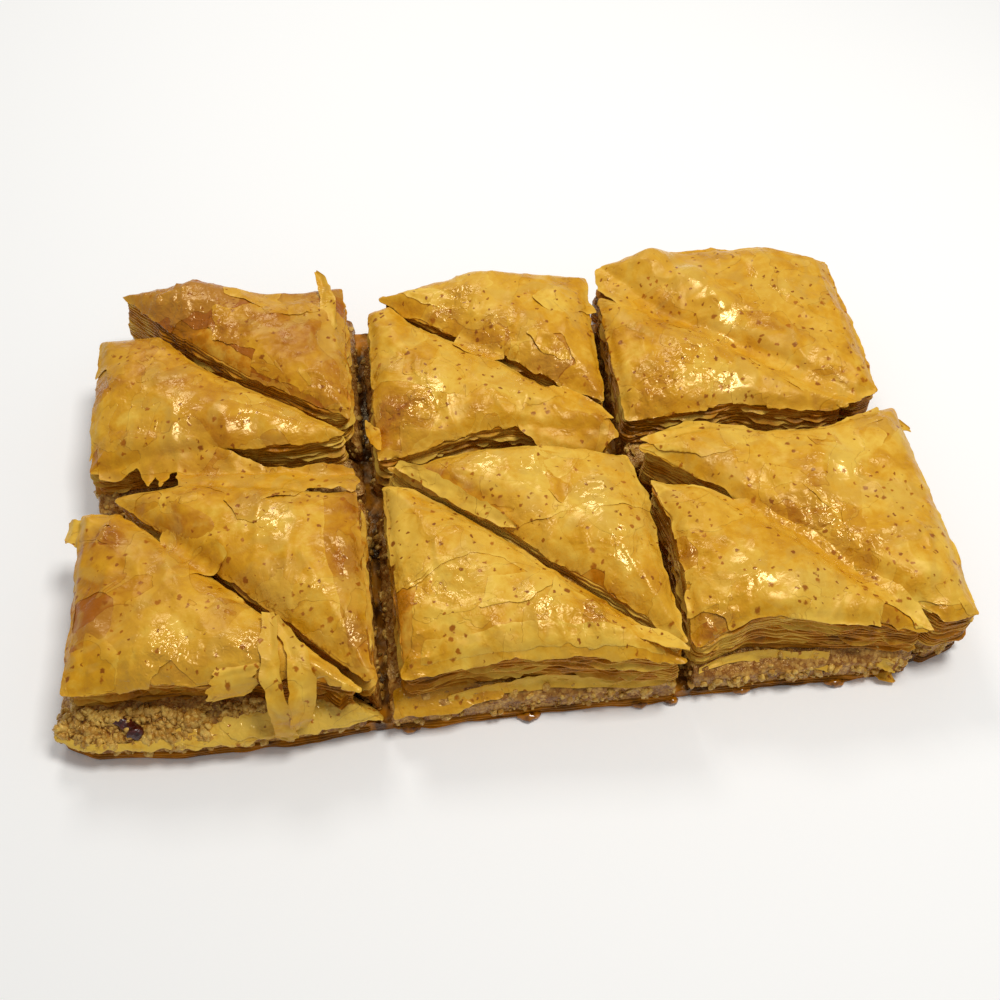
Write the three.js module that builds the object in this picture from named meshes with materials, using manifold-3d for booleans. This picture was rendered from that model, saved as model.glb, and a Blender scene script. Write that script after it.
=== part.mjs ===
// A tray-cut slab of baklava: six squares in two rows, each cut on its diagonal into a front and a back
// triangle. Every triangle is three solids that run through it: a thin base of pastry, the ground nut
// filling and the tall puffed stack of phyllo on top. Millimetres, +Z up, +X along the near edge, +Y away.
// Plan coordinates below are measured from the near left corner of the slab, and the last step centres it.
import * as THREE from "three";
import { mergeVertices } from "three/addons/utils/BufferGeometryUtils.js";
import Module from "manifold-3d";

const wasm = await Module();
wasm.setup();

// Heights of the layers.
const BASE_TOP = 2.8; // the pastry under the filling, soaked and pressed flat
const FILLING_BOTTOM = 3.1;
const SHELF_Z = 8.4; // a sheet of phyllo inside the filling, which sticks out as a shelf
const FILLING_TOP = 11;
const CRUST_BOTTOM = 11.3;
const CRUST_EDGE = 24.3; // where the top sheet ends at a cut
const CROWN = 2.6; // rise of the top sheet from its edge to the middle of a piece
const CROWN_REACH = 11; // distance from the edge over which it rises

// Plan sizes.
const CORNER_RADIUS = 2.2;
const SHARP_TURN = 0.7; // a vertex that turns by more than this, in radians, is a cut corner to round off
const CRUST_STEP = 6.8; // spacing of points along a crust's outline
const LAYER_STEP = 10; // the same for the base and the filling
const SHELF_LIP = 0.9; // how far the shelf sheet stands out of the filling, on the slab's near side
const SHELF_RISE = 1; // the height over which it widens to that
const NEAR_SIDE = 5; // a lower layer nearer than this is on that side
const NEAR_FACING = -0.7; // and so is a wall whose normal points nearer than this
const HEAP_LEAN = 0.85; // above the shelf the filling leans in to the crust, by this share of the way
const FLAKE_THICK = 0.9;

// Relief of the cut walls.
const PLY_LEVELS = [0, 0.22, 0.42, 0.6, 0.8, 1]; // heights of the groups of leaves, as shares of the wall
const PLY_DEPTH = [0.1, -0.9, 0.25, -0.8, 0.1, 0.15]; // how far each group stands out
const PLY_WAVE = 0.45;
const PLY_PITCH = 2.1; // how fast that wave changes from point to point
const CRUMB_WAVE = 0.4;
const BASE_WAVE = 0.24;
const LAYER_PITCH = 1.7;
const SHEET_WAVE = 0.45; // unevenness of the top sheet
// The waves of an uneven line: the share, the rate and the phase of each.
const WAVES = [
  [0.5, 0.31, 1.7],
  [0.32, 0.83, 4.1],
  [0.18, 1.9, 2.3],
];
const CAP_RINGS = [0.07, 0.2, 0.4, 0.68]; // rings of the top sheet, as shares of the way to the middle

const PASTRY = { color: 0xd9a23c, roughness: 0.3, metalness: 0 };
const NUTS = { color: 0xa9814a, roughness: 0.6, metalness: 0 };
const SOAKED = { color: 0x8f6420, roughness: 0.35, metalness: 0 };

// A triangle's outline runs anticlockwise round its top edge. Puffs are blisters and hollows of the top
// sheet, each [x, y, radius, height]. A foot is the outline of the two layers under the crust, which spread
// out from under it until they nearly fill the cuts.
const PIECES = [
  {
    name: "near_left_front",
    outline: [[1, 7.6], [26, 6.2], [42, 6.2], [58, 4.8], [70.6, 0.8], [36, 33.5], [10, 57.5], [1, 58]],
    puffs: [[20, 16, 12, 1.6], [45, 12, 10, 0.8], [12, 38, 9, 1.2], [6, 8, 8, -2.4], [68, 1, 8, -2.5]],
    foot: [
      [-5, 13], [-4.6, 3.4], [4, -0.6], [28, -2.6], [54, -2.1], [73.6, -0.8], [36.4, 34.2], [10, 58.2],
      [-1.4, 59.4],
    ],
  },
  {
    name: "near_left_back",
    outline: [[73.6, 3.4], [72.6, 35], [72.6, 57.8], [50, 61.5], [25, 65], [9.5, 63], [36, 38]],
    puffs: [[52, 44, 15, 1.2], [30, 58, 8, 1.4], [70, 50, 7, -1.2], [70, 8, 9, -2]],
    foot: [
      [75.4, 1.6], [75.2, 30], [74.8, 66.4], [50, 67.6], [25, 69.2], [6.4, 68], [6.4, 64.2],
      [35.4, 37.4],
    ],
  },
  {
    name: "near_mid_front",
    outline: [
      [82, 3.2], [98, 4.4], [115, 4.6], [134, 2], [150.4, 0], [123, 25.5], [97, 49.5], [88, 56.5],
      [81, 58.5],
    ],
    puffs: [[108, 22, 15, 2], [92, 40, 9, 1.4], [84, 6, 7, -2.6], [128, 10, 10, 0.8], [149, 1, 8, -3]],
    foot: [
      [77, -1.3], [84, -1.2], [116, -0.7], [151.6, -1.4], [123.4, 26], [97.4, 50], [88.3, 57],
      [76.8, 60],
    ],
  },
  {
    name: "near_mid_back",
    outline: [
      [151.6, 4.5], [149.6, 26], [150, 38], [147.6, 62.6], [130, 66.8], [112, 68], [96, 67.8], [82, 66],
      [113, 40.5],
    ],
    puffs: [
      [137, 40, 9, 2.4], [145, 26, 8, 1.6], [118, 62, 12, 1.6], [90, 63, 8, -2.2], [151, 8, 7, -1.5],
    ],
    foot: [
      [152.4, 3], [151, 26], [151.2, 38], [149.8, 66.4], [130, 69.4], [112, 70.4], [96, 69.8], [78.6, 68],
      [112.6, 39.9],
    ],
  },
  {
    name: "near_right_front",
    outline: [
      [154.6, 3], [160.8, 5.6], [169, 7.6], [181, 6.4], [200, 3.6], [213, 1.4], [186, 28], [166, 48.5],
      [152.6, 52.5], [155.4, 38], [155.6, 26],
    ],
    puffs: [[175, 9, 11, 3], [180, 24, 12, 1.6], [158, 44, 8, 1], [156, 4, 8, -3], [210, 2, 8, -2.6]],
    foot: [
      [153.8, -0.4], [184, -0.2], [198, -1], [214.4, 0], [186.4, 28.6], [166.4, 49.2], [151.4, 53.2],
      [152.6, 38], [152.4, 26],
    ],
  },
  {
    name: "near_right_back",
    outline: [
      [226.3, 4], [225.8, 70], [206, 66], [190, 65.5], [172, 69], [152.8, 65.5], [186, 36.5], [217.8, 3],
    ],
    puffs: [
      [196, 54, 10, 1.8], [212, 30, 12, 1], [172, 62, 9, 1.2], [222, 8, 9, -2.4], [218, 62, 9, 1.4],
    ],
    foot: [
      [228.3, 5.4], [227.8, 72.2], [206, 69.8], [190, 69.4], [172, 70.8], [151.2, 66.4], [185.5, 36],
      [217.4, 1.6],
    ],
  },
  {
    name: "far_left_front",
    outline: [[1, 75.6], [36, 77.6], [58, 77.8], [71, 80], [50, 94], [28, 109], [17, 122.5], [1, 121.5]],
    puffs: [[18, 96, 12, 1.8], [36, 88, 9, 1.6], [10, 112, 9, 1], [4, 78, 8, -2.6], [66, 82, 8, -1.2]],
    foot: [
      [-1, 70.4], [25, 70.8], [50, 69.2], [74.8, 68], [74.8, 78], [50.4, 94.6], [28.4, 109.6],
      [17.4, 123.4], [-1, 123],
    ],
  },
  {
    name: "far_left_back",
    outline: [[71.6, 86], [71.4, 137], [45, 139], [25, 141.5], [5.5, 141], [18.5, 127], [43, 104.5]],
    puffs: [
      [27, 139, 12, 4.2], [50, 118, 12, 1.6], [56, 136, 12, -1.8], [24, 126, 8, -1.4], [68, 90, 8, -1],
    ],
    foot: [
      [74.8, 83], [74.4, 138.6], [45, 141], [25, 143.4], [3.8, 143], [4.6, 140.6], [18, 126.4],
      [42.6, 103.8],
    ],
  },
  {
    name: "far_mid_front",
    outline: [
      [79.5, 70.5], [94, 72.8], [106, 76], [120, 76.4], [144, 73], [143.6, 77.4], [113, 103], [93, 118],
      [86, 127], [80.3, 125],
    ],
    puffs: [[98, 92, 12, 2.6], [116, 82, 9, 1.8], [86, 112, 9, 1], [82, 74, 8, -3], [136, 76, 9, -1.4]],
    foot: [
      [76.6, 69.2], [94, 71.4], [112, 72], [130, 71], [146.6, 68.4], [145.6, 77.6], [113.4, 103.6],
      [93.3, 118.5], [85.8, 126.8], [76.2, 125.6],
    ],
  },
  {
    name: "far_mid_back",
    outline: [[144.9, 84], [145, 110], [147, 133], [115, 136.5], [84, 131.5], [99, 118], [119, 103]],
    puffs: [[117, 134, 20, 3.6], [136, 112, 12, 1.6], [104, 122, 8, -1.4], [142, 90, 8, -0.8]],
    foot: [
      [147.2, 81.6], [147.2, 110], [148.8, 134.8], [115, 138.5], [80.6, 134.2], [98.6, 117.4],
      [118.6, 102.4],
    ],
  },
  {
    name: "far_right_front",
    outline: [
      [151, 78], [171, 77], [184, 78], [200, 74.8], [214, 74.4], [186, 98], [166, 113.5], [151, 124],
    ],
    puffs: [
      [172, 92, 13, 2.8], [190, 84, 8, 1.4], [156, 112, 9, 0.8], [154, 80, 8, -2.6], [206, 77, 8, -1],
    ],
    foot: [
      [149.2, 68.6], [172, 72.3], [190, 71.2], [206, 71.6], [217, 72.8], [186.4, 98.6], [166.4, 114.2],
      [149.2, 125.6],
    ],
  },
  {
    name: "far_right_back",
    outline: [
      [224.3, 79.5], [224, 130.5], [206, 138.5], [172, 142], [152.8, 138], [170, 115], [190, 100],
      [218, 77.5],
    ],
    puffs: [
      [168, 136, 6, 4], [178, 126, 5, 2.4], [186, 116, 5, 2], [208, 134, 15, 2.6], [206, 108, 14, 1.2],
      [222, 80, 9, -1.6],
    ],
    foot: [
      [226.3, 75], [226, 131.6], [206.6, 140.4], [172, 144], [150.6, 139.6], [169.6, 114.4], [189.6, 99.4],
      [217.6, 76.6],
    ],
  },
];

// Loose flakes, each stuck to a layer. It is a ribbon along a line of [x, y, z, width], and side is the
// direction across it.
const FLAKES = [
  {
    // a torn sheet that slid off the far left square and lies over the cut between the rows
    node: "far_left_front_crust",
    side: [0.1, 1, 0],
    line: [
      [4, 80, 24.6, 12], [13, 76, 26.6, 12], [21, 72.4, 27.4, 6], [32, 69.5, 28.6, 10],
      [46, 65.2, 28.8, 15], [60, 66, 28.2, 10],
    ],
  },
  {
    // two strips of dough that hang down the near side
    node: "near_left_front_crust",
    side: [1, -0.1, 0],
    line: [
      [50, 21.5, 25.4, 3.6], [50.2, 13, 27.4, 3.8], [50.6, 4, 26, 4], [51, -1.6, 21.4, 4.2],
      [51.2, -3.4, 14, 4.4],
    ],
  },
  {
    node: "near_left_front_crust",
    side: [1, 0.25, 0],
    line: [
      [55, 15, 25, 2.4], [57.6, 9.6, 26.6, 3.4], [58.2, 2, 24.6, 3.8], [57, -2.4, 18.6, 3.8],
      [55.6, -3.2, 12.6, 2.6],
    ],
  },
  {
    // a torn leaf that stands out of the left side
    node: "near_left_front_crust",
    side: [0.1, 1, 0],
    line: [[4, 54, 21, 8], [-1.4, 55, 20.6, 8], [-4.8, 57.4, 18.8, 5]],
  },
  {
    // a torn sheet across the diagonal cut
    node: "far_mid_back_crust",
    side: [1, 0.2, 0],
    line: [[117, 121, 26, 8], [114, 114, 28, 9], [111, 106.5, 28.6, 8], [109, 102, 28.8, 3]],
  },
  {
    // a long flake that stands along the diagonal cut
    node: "near_mid_back_crust",
    side: [0.6, 0.8, 0],
    line: [[88, 63, 24.4, 6], [94, 58.2, 27, 7], [102, 51.8, 28, 6], [110, 45.4, 27.6, 3.6]],
  },
  {
    // the curled edge that leans over the cut between the rows
    node: "near_right_back_crust",
    side: [0, 1, 0],
    line: [
      [160, 66, 24.8, 6], [171, 69.6, 27, 8], [184, 67, 27.6, 8], [198, 66.4, 27.2, 8],
      [210, 64, 25.6, 5],
    ],
  },
  {
    // a flap that hangs over the same cut
    node: "far_mid_front_crust",
    side: [0, 1, 0.15],
    line: [[116, 77, 25, 5], [124, 74, 26.6, 7], [134, 72, 26.4, 8], [144, 70.6, 25.2, 7]],
  },
  {
    // a curl that stands in the cut between the columns
    node: "far_mid_front_crust",
    side: [0, 1, 0.2],
    line: [[83, 76.5, 20.5, 5], [78.6, 77, 22.6, 7], [76.4, 78, 26.6, 5]],
  },
  {
    // a point of crust on the right side
    node: "near_right_back_crust",
    side: [0, 1, 0.2],
    line: [[222, 66, 21.4, 7], [227.5, 66.4, 21, 4], [231.4, 64.6, 19.8, 1.4]],
  },
  {
    // scraps of the soaked base, at the near corners
    node: "near_left_front_base",
    side: [0.1, 1, 0],
    line: [[2, 5, 1.3, 4], [-4, 3.6, 1.1, 3], [-7, 2.4, 0.9, 1.4]],
  },
  {
    node: "near_right_front_base",
    side: [1, 0.2, 0],
    line: [[206.6, 3, 1.3, 5], [208.4, -1.6, 1.1, 4.6], [209.6, -4.2, 0.9, 2.4]],
  },
];

// A repeatable uneven line, about -1 to 1.
function wobble(seed, s) {
  return WAVES.reduce((sum, [share, rate, phase]) => sum + share * Math.sin(s * rate + seed * phase), 0);
}

function lerp(a, b, t) {
  return a + (b - a) * t;
}

function middleOf(points) {
  const sum = points.reduce((m, [x, y]) => [m[0] + x, m[1] + y], [0, 0]);
  return sum.map((v) => v / points.length);
}

// Points round a polygon: sharp corners become short arcs, and sides are divided into equal steps.
function roundedOutline(polygon, step) {
  const count = polygon.length;
  const arcs = polygon.map((p, i) => {
    const before = new THREE.Vector2(...polygon[(i + count - 1) % count]);
    const here = new THREE.Vector2(...p);
    const after = new THREE.Vector2(...polygon[(i + 1) % count]);
    const into = here.clone().sub(before).normalize();
    const away = after.clone().sub(here).normalize();
    const turn = Math.acos(THREE.MathUtils.clamp(into.dot(away), -1, 1));
    if (turn < SHARP_TURN) return [here];
    const cut = CORNER_RADIUS * Math.tan(Math.min(turn, 2) / 2);
    const start = here.clone().addScaledVector(into, -cut);
    const end = here.clone().addScaledVector(away, cut);
    const tip = here.clone().multiplyScalar(0.5).addScaledVector(start, 0.25).addScaledVector(end, 0.25);
    return [start, tip, end];
  });
  const points = [];
  arcs.forEach((arc, i) => {
    points.push(...arc);
    const from = arc[arc.length - 1];
    const to = arcs[(i + 1) % count][0];
    const steps = Math.max(1, Math.round(from.distanceTo(to) / step));
    for (let k = 1; k < steps; k++) points.push(from.clone().lerp(to, k / steps));
  });
  return points.map((p) => [p.x, p.y]);
}

// Moves each point of an outline along its own outward normal by offset(i, normal, point).
function pushed(outline, offset) {
  const count = outline.length;
  return outline.map(([x, y], i) => {
    const [ax, ay] = outline[(i + count - 1) % count];
    const [bx, by] = outline[(i + 1) % count];
    const length = Math.hypot(bx - ax, by - ay);
    const normal = [(by - ay) / length, -(bx - ax) / length];
    const d = offset(i, normal, [x, y]);
    return [x + normal[0] * d, y + normal[1] * d];
  });
}

// A closed solid from rings of equal length, each a list of [x, y, z] from the bottom up, shut by two fans.
function loft(rings) {
  const count = rings[0].length;
  const vertices = rings.flat().concat([centreOf(rings[0]), centreOf(rings[rings.length - 1])]);
  const bottom = vertices.length - 2;
  const top = vertices.length - 1;
  const faces = [];
  for (let i = 0; i < count; i++) {
    const j = (i + 1) % count;
    faces.push([bottom, j, i]);
    for (let r = 0; r + 1 < rings.length; r++) {
      const low = r * count;
      const high = low + count;
      faces.push([low + i, low + j, high + j], [low + i, high + j, high + i]);
    }
    const last = (rings.length - 1) * count;
    faces.push([last + i, last + j, top]);
  }
  return new wasm.Manifold(
    new wasm.Mesh({
      numProp: 3,
      vertProperties: new Float32Array(vertices.flat()),
      triVerts: new Uint32Array(faces.flat()),
    }),
  );
}

function centreOf(ring) {
  const sum = ring.reduce((m, p) => m.map((v, k) => v + p[k]), [0, 0, 0]);
  return sum.map((v) => v / ring.length);
}

// A thin ribbon with square edges along a line of [x, y, z, width].
function ribbon(line, side) {
  const across = new THREE.Vector3(...side).normalize();
  const points = line.map(([x, y, z]) => new THREE.Vector3(x, y, z));
  const rings = points.map((p, i) => {
    const before = points[Math.max(i - 1, 0)];
    const after = points[Math.min(i + 1, points.length - 1)];
    const along = after.clone().sub(before).normalize();
    const up = along.cross(across).normalize().multiplyScalar(FLAKE_THICK / 2);
    const half = across.clone().multiplyScalar(line[i][3] / 2);
    return [[-1, -1], [1, -1], [1, 1], [-1, 1]].map(([s, t]) => {
      const q = p.clone().addScaledVector(half, s).addScaledVector(up, t);
      return [q.x, q.y, q.z];
    });
  });
  const solid = loft(rings);
  return solid.volume() < 0 ? loft(rings.map((ring) => ring.slice().reverse())) : solid;
}

// Height of the top sheet at a point that is d millimetres inside the edge.
function topHeight(piece, seed, x, y, d) {
  const s = Math.min(1, d / CROWN_REACH);
  const crown = CROWN * (1 - (1 - s) ** 2);
  const puff = ([px, py, r, h]) => h * Math.exp(-((x - px) ** 2 + (y - py) ** 2) / r ** 2);
  const puffs = piece.puffs.reduce((sum, place) => sum + puff(place), 0);
  return CRUST_EDGE + crown + puffs + SHEET_WAVE * wobble(seed, x * 0.6 + y * 0.9);
}

function crust(piece, seed) {
  const outline = roundedOutline(piece.outline, CRUST_STEP);
  const centre = middleOf(outline);
  const rings = PLY_LEVELS.map((share, level) => {
    const ring = pushed(outline, (i) => PLY_DEPTH[level] + PLY_WAVE * wobble(seed + level, i * PLY_PITCH));
    return ring.map(([x, y], i) => {
      const edge = topHeight(piece, seed, outline[i][0], outline[i][1], 0);
      return [x, y, lerp(CRUST_BOTTOM, edge, share)];
    });
  });
  for (const share of CAP_RINGS) {
    rings.push(
      outline.map(([x, y]) => {
        const d = share * Math.hypot(centre[0] - x, centre[1] - y);
        const [px, py] = [lerp(x, centre[0], share), lerp(y, centre[1], share)];
        return [px, py, topHeight(piece, seed, px, py, d)];
      }),
    );
  }
  return loft(rings);
}

// The uneven outline of a lower layer.
function lowerOutline(piece, seed, wave) {
  return pushed(roundedOutline(piece.foot, LAYER_STEP), (i) => wave * wobble(seed, i * LAYER_PITCH));
}

// The point of a polygon's boundary that is nearest to [x, y].
function nearestOn(polygon, [x, y]) {
  const point = new THREE.Vector3(x, y, 0);
  const corners = polygon.map(([cx, cy]) => new THREE.Vector3(cx, cy, 0));
  const feet = corners.map((corner, i) => {
    const side = new THREE.Line3(corner, corners[(i + 1) % corners.length]);
    return side.closestPointToPoint(point, true, new THREE.Vector3());
  });
  return feet.reduce((best, foot) => (foot.distanceTo(point) < best.distanceTo(point) ? foot : best));
}

function filling(piece, seed) {
  const wall = lowerOutline(piece, seed, CRUMB_WAVE);
  const at = (ring, z) => ring.map(([x, y]) => [x, y, z]);
  const onNearSide = (normal, point) => normal[1] < NEAR_FACING && point[1] < NEAR_SIDE;
  const shelf = pushed(wall, (i, normal, point) => (onNearSide(normal, point) ? SHELF_LIP : 0));
  const heap = wall.map((point) => {
    const inner = nearestOn(piece.outline, point);
    return [lerp(point[0], inner.x, HEAP_LEAN), lerp(point[1], inner.y, HEAP_LEAN)];
  });
  return loft([
    at(wall, FILLING_BOTTOM),
    at(wall, SHELF_Z - SHELF_RISE),
    at(shelf, SHELF_Z),
    at(heap, FILLING_TOP),
  ]);
}

function base(piece, seed) {
  const wall = lowerOutline(piece, seed + 1, BASE_WAVE);
  return loft([wall.map(([x, y]) => [x, y, 0]), wall.map(([x, y]) => [x, y, BASE_TOP])]);
}

function meshOf(name, solid, look) {
  const { numProp, vertProperties, triVerts } = solid.getMesh();
  const count = vertProperties.length / numProp;
  const positions = new Float32Array(count * 3);
  for (let i = 0; i < count; i++) {
    const from = i * numProp;
    positions.set(vertProperties.subarray(from, from + 3), i * 3);
  }
  const geometry = new THREE.BufferGeometry();
  geometry.setAttribute("position", new THREE.BufferAttribute(positions, 3));
  geometry.setIndex(new THREE.BufferAttribute(triVerts, 1));
  const closed = mergeVertices(geometry, 1e-4);
  closed.computeVertexNormals();
  const mesh = new THREE.Mesh(closed, new THREE.MeshStandardMaterial(look));
  mesh.name = name;
  return mesh;
}

const slab = new THREE.Group();
slab.name = "baklava_slab";

PIECES.forEach((piece, i) => {
  const seed = i + 1;
  const layers = [
    [`${piece.name}_crust`, crust(piece, seed), PASTRY],
    [`${piece.name}_filling`, filling(piece, seed), NUTS],
    [`${piece.name}_base`, base(piece, seed), SOAKED],
  ];
  for (const [name, solid, look] of layers) {
    const flakes = FLAKES.filter((flake) => flake.node === name);
    const whole = flakes.reduce((sum, flake) => sum.add(ribbon(flake.line, flake.side)), solid);
    slab.add(meshOf(name, whole, look));
  }
});

const box = new THREE.Box3().setFromObject(slab);
slab.position.set(-(box.min.x + box.max.x) / 2, -(box.min.y + box.max.y) / 2, -box.min.z);

export default slab;
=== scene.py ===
"""A tray-cut slab of baklava: two rows of three squares, each cut on its diagonal into two triangles.

Every triangle is a stack of phyllo leaves on ground nuts on a soaked base. The leaves, the cut walls, the
torn flaps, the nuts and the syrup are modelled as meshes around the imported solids, in metres.
Lengths in the layout are millimetres, measured from the slab's near left corner.
"""

import math

import bpy
import numpy as np
from mathutils import Matrix, Vector, geometry


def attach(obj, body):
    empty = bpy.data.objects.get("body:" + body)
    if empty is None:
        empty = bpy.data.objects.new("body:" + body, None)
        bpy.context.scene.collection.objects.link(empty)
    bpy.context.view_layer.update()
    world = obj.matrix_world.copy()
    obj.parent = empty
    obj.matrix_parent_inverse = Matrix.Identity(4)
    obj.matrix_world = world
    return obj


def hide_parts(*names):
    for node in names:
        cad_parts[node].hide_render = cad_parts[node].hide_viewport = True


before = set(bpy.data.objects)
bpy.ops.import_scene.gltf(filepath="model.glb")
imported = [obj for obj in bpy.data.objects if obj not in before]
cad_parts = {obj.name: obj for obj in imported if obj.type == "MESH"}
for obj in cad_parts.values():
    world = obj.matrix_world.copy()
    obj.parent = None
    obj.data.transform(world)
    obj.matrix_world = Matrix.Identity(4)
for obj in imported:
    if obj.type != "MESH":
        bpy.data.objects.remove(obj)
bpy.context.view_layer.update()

bl_info = {
    "name": "Baklava Slab",
    "version": (1, 0, 0),
    "blender": (4, 5, 0),
    "location": "3D View > Sidebar > Baklava",
    "description": "Builds a slab of baklava, cut in triangles, around its packed solids",
    "category": "Add Mesh",
}

# ----------------------------------------------------------------------
# Colours that the sidebar doesn't show
# ----------------------------------------------------------------------

WHITE = "#ffffff"
DRY_LEAF = "#cb9e40"
TORN_EDGE = "#8a4a08"
DARK_BLISTER = "#844000"
PALE_BLISTER = "#b06400"
BUTTER_GLOSS = "#ffe6b0"
# Painted shade in the gaps between nut crumbs.
NUT_GAP_SHADE = "#a9742c"
DAMP_NUT = "#8c5312"
NUT_GLOSS = "#ffe3a6"
CRUMB_BROWN = "#c98f30"
CRUMB_PALE = "#ecc463"
DATE_DARK = "#240603"
LAMP_LIGHT = "#fffdf8"

# ----------------------------------------------------------------------
# Layout, in millimetres from the slab's near left corner
# ----------------------------------------------------------------------

MM = 0.001
NEAR_LEFT_CORNER = (-112.196, -69.785, 0.0)  # that corner in the frame

BASE_TOP = 2.9
FILLING_BOTTOM = 2.9
SHELF_Z = 8.4  # height of the filling at its own edge
FILLING_TOP = 11.0  # height of the filling where it goes under the crust
CRUST_BOTTOM = 10.9
CRUST_EDGE = 23.6  # height of the crust near its edge
CROWN = 2.6  # how much higher its middle is
CROWN_REACH = 11.0  # distance from the edge where it is that high
EDGE_DROP = 1.1  # how far its rim is pressed down
EDGE_ROUND = 3.0  # width of that rim
CORNER_RADIUS = 2.2
FAR_LIMIT = 143.3  # leaves end here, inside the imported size
TOP_LIMIT = 30.15  # leaves stay under this height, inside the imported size
LEFT_COLUMN_END = 76
LEFT_SOAK_AND_SHADE = 0.11  # how much darker the leaves of the first column are: partly more syrup, partly painted shade where less light falls
FAR_ROW_START = 72
FAR_SOAK_AND_SHADE = 0.05  # the same for the far row, also partly painted shade

WALL_STEP = 0.9  # spacing of points round a cut wall
LEAF_STEP = 0.72  # spacing of points across a leaf
PLIES = 14  # groups of leaves that can be told apart in a cut wall
FRINGES = 7  # single leaves that stand out of a cut wall
LEAF_THICK = 0.13
UNDER_LIFT = 0.14  # height of a lower leaf above the stack
UPPER_LIFT = 0.32  # the same for an upper leaf
SCRAP_LIFT = 0.46  # and for the scraps on them
SAG = 0.45  # fall of a leaf for each millimetre past an edge
SAG_GROWTH = 0.35  # how quickly that fall gets steeper
FRINGE_LANES = 6  # lines of points across a single leaf in a cut wall
FRINGE_ROOT = 2.6  # how deep in the wall such a leaf starts
SCRAPS_PER_PIECE = 3
SCRAP_CORNERS = 9
SCRAP_CLEARANCE = 4  # distance of a scrap's middle from the edge of its piece
BED_STEP = 1.1  # spacing of points across the bed of scraps

# Where the seeds of each kind of piece start.
LEAF_SEED = 40
RIBBON_SEED = 200
DATE_SEED = 300
DROP_SEED = 310
SCRAP_SEED = 6

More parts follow.
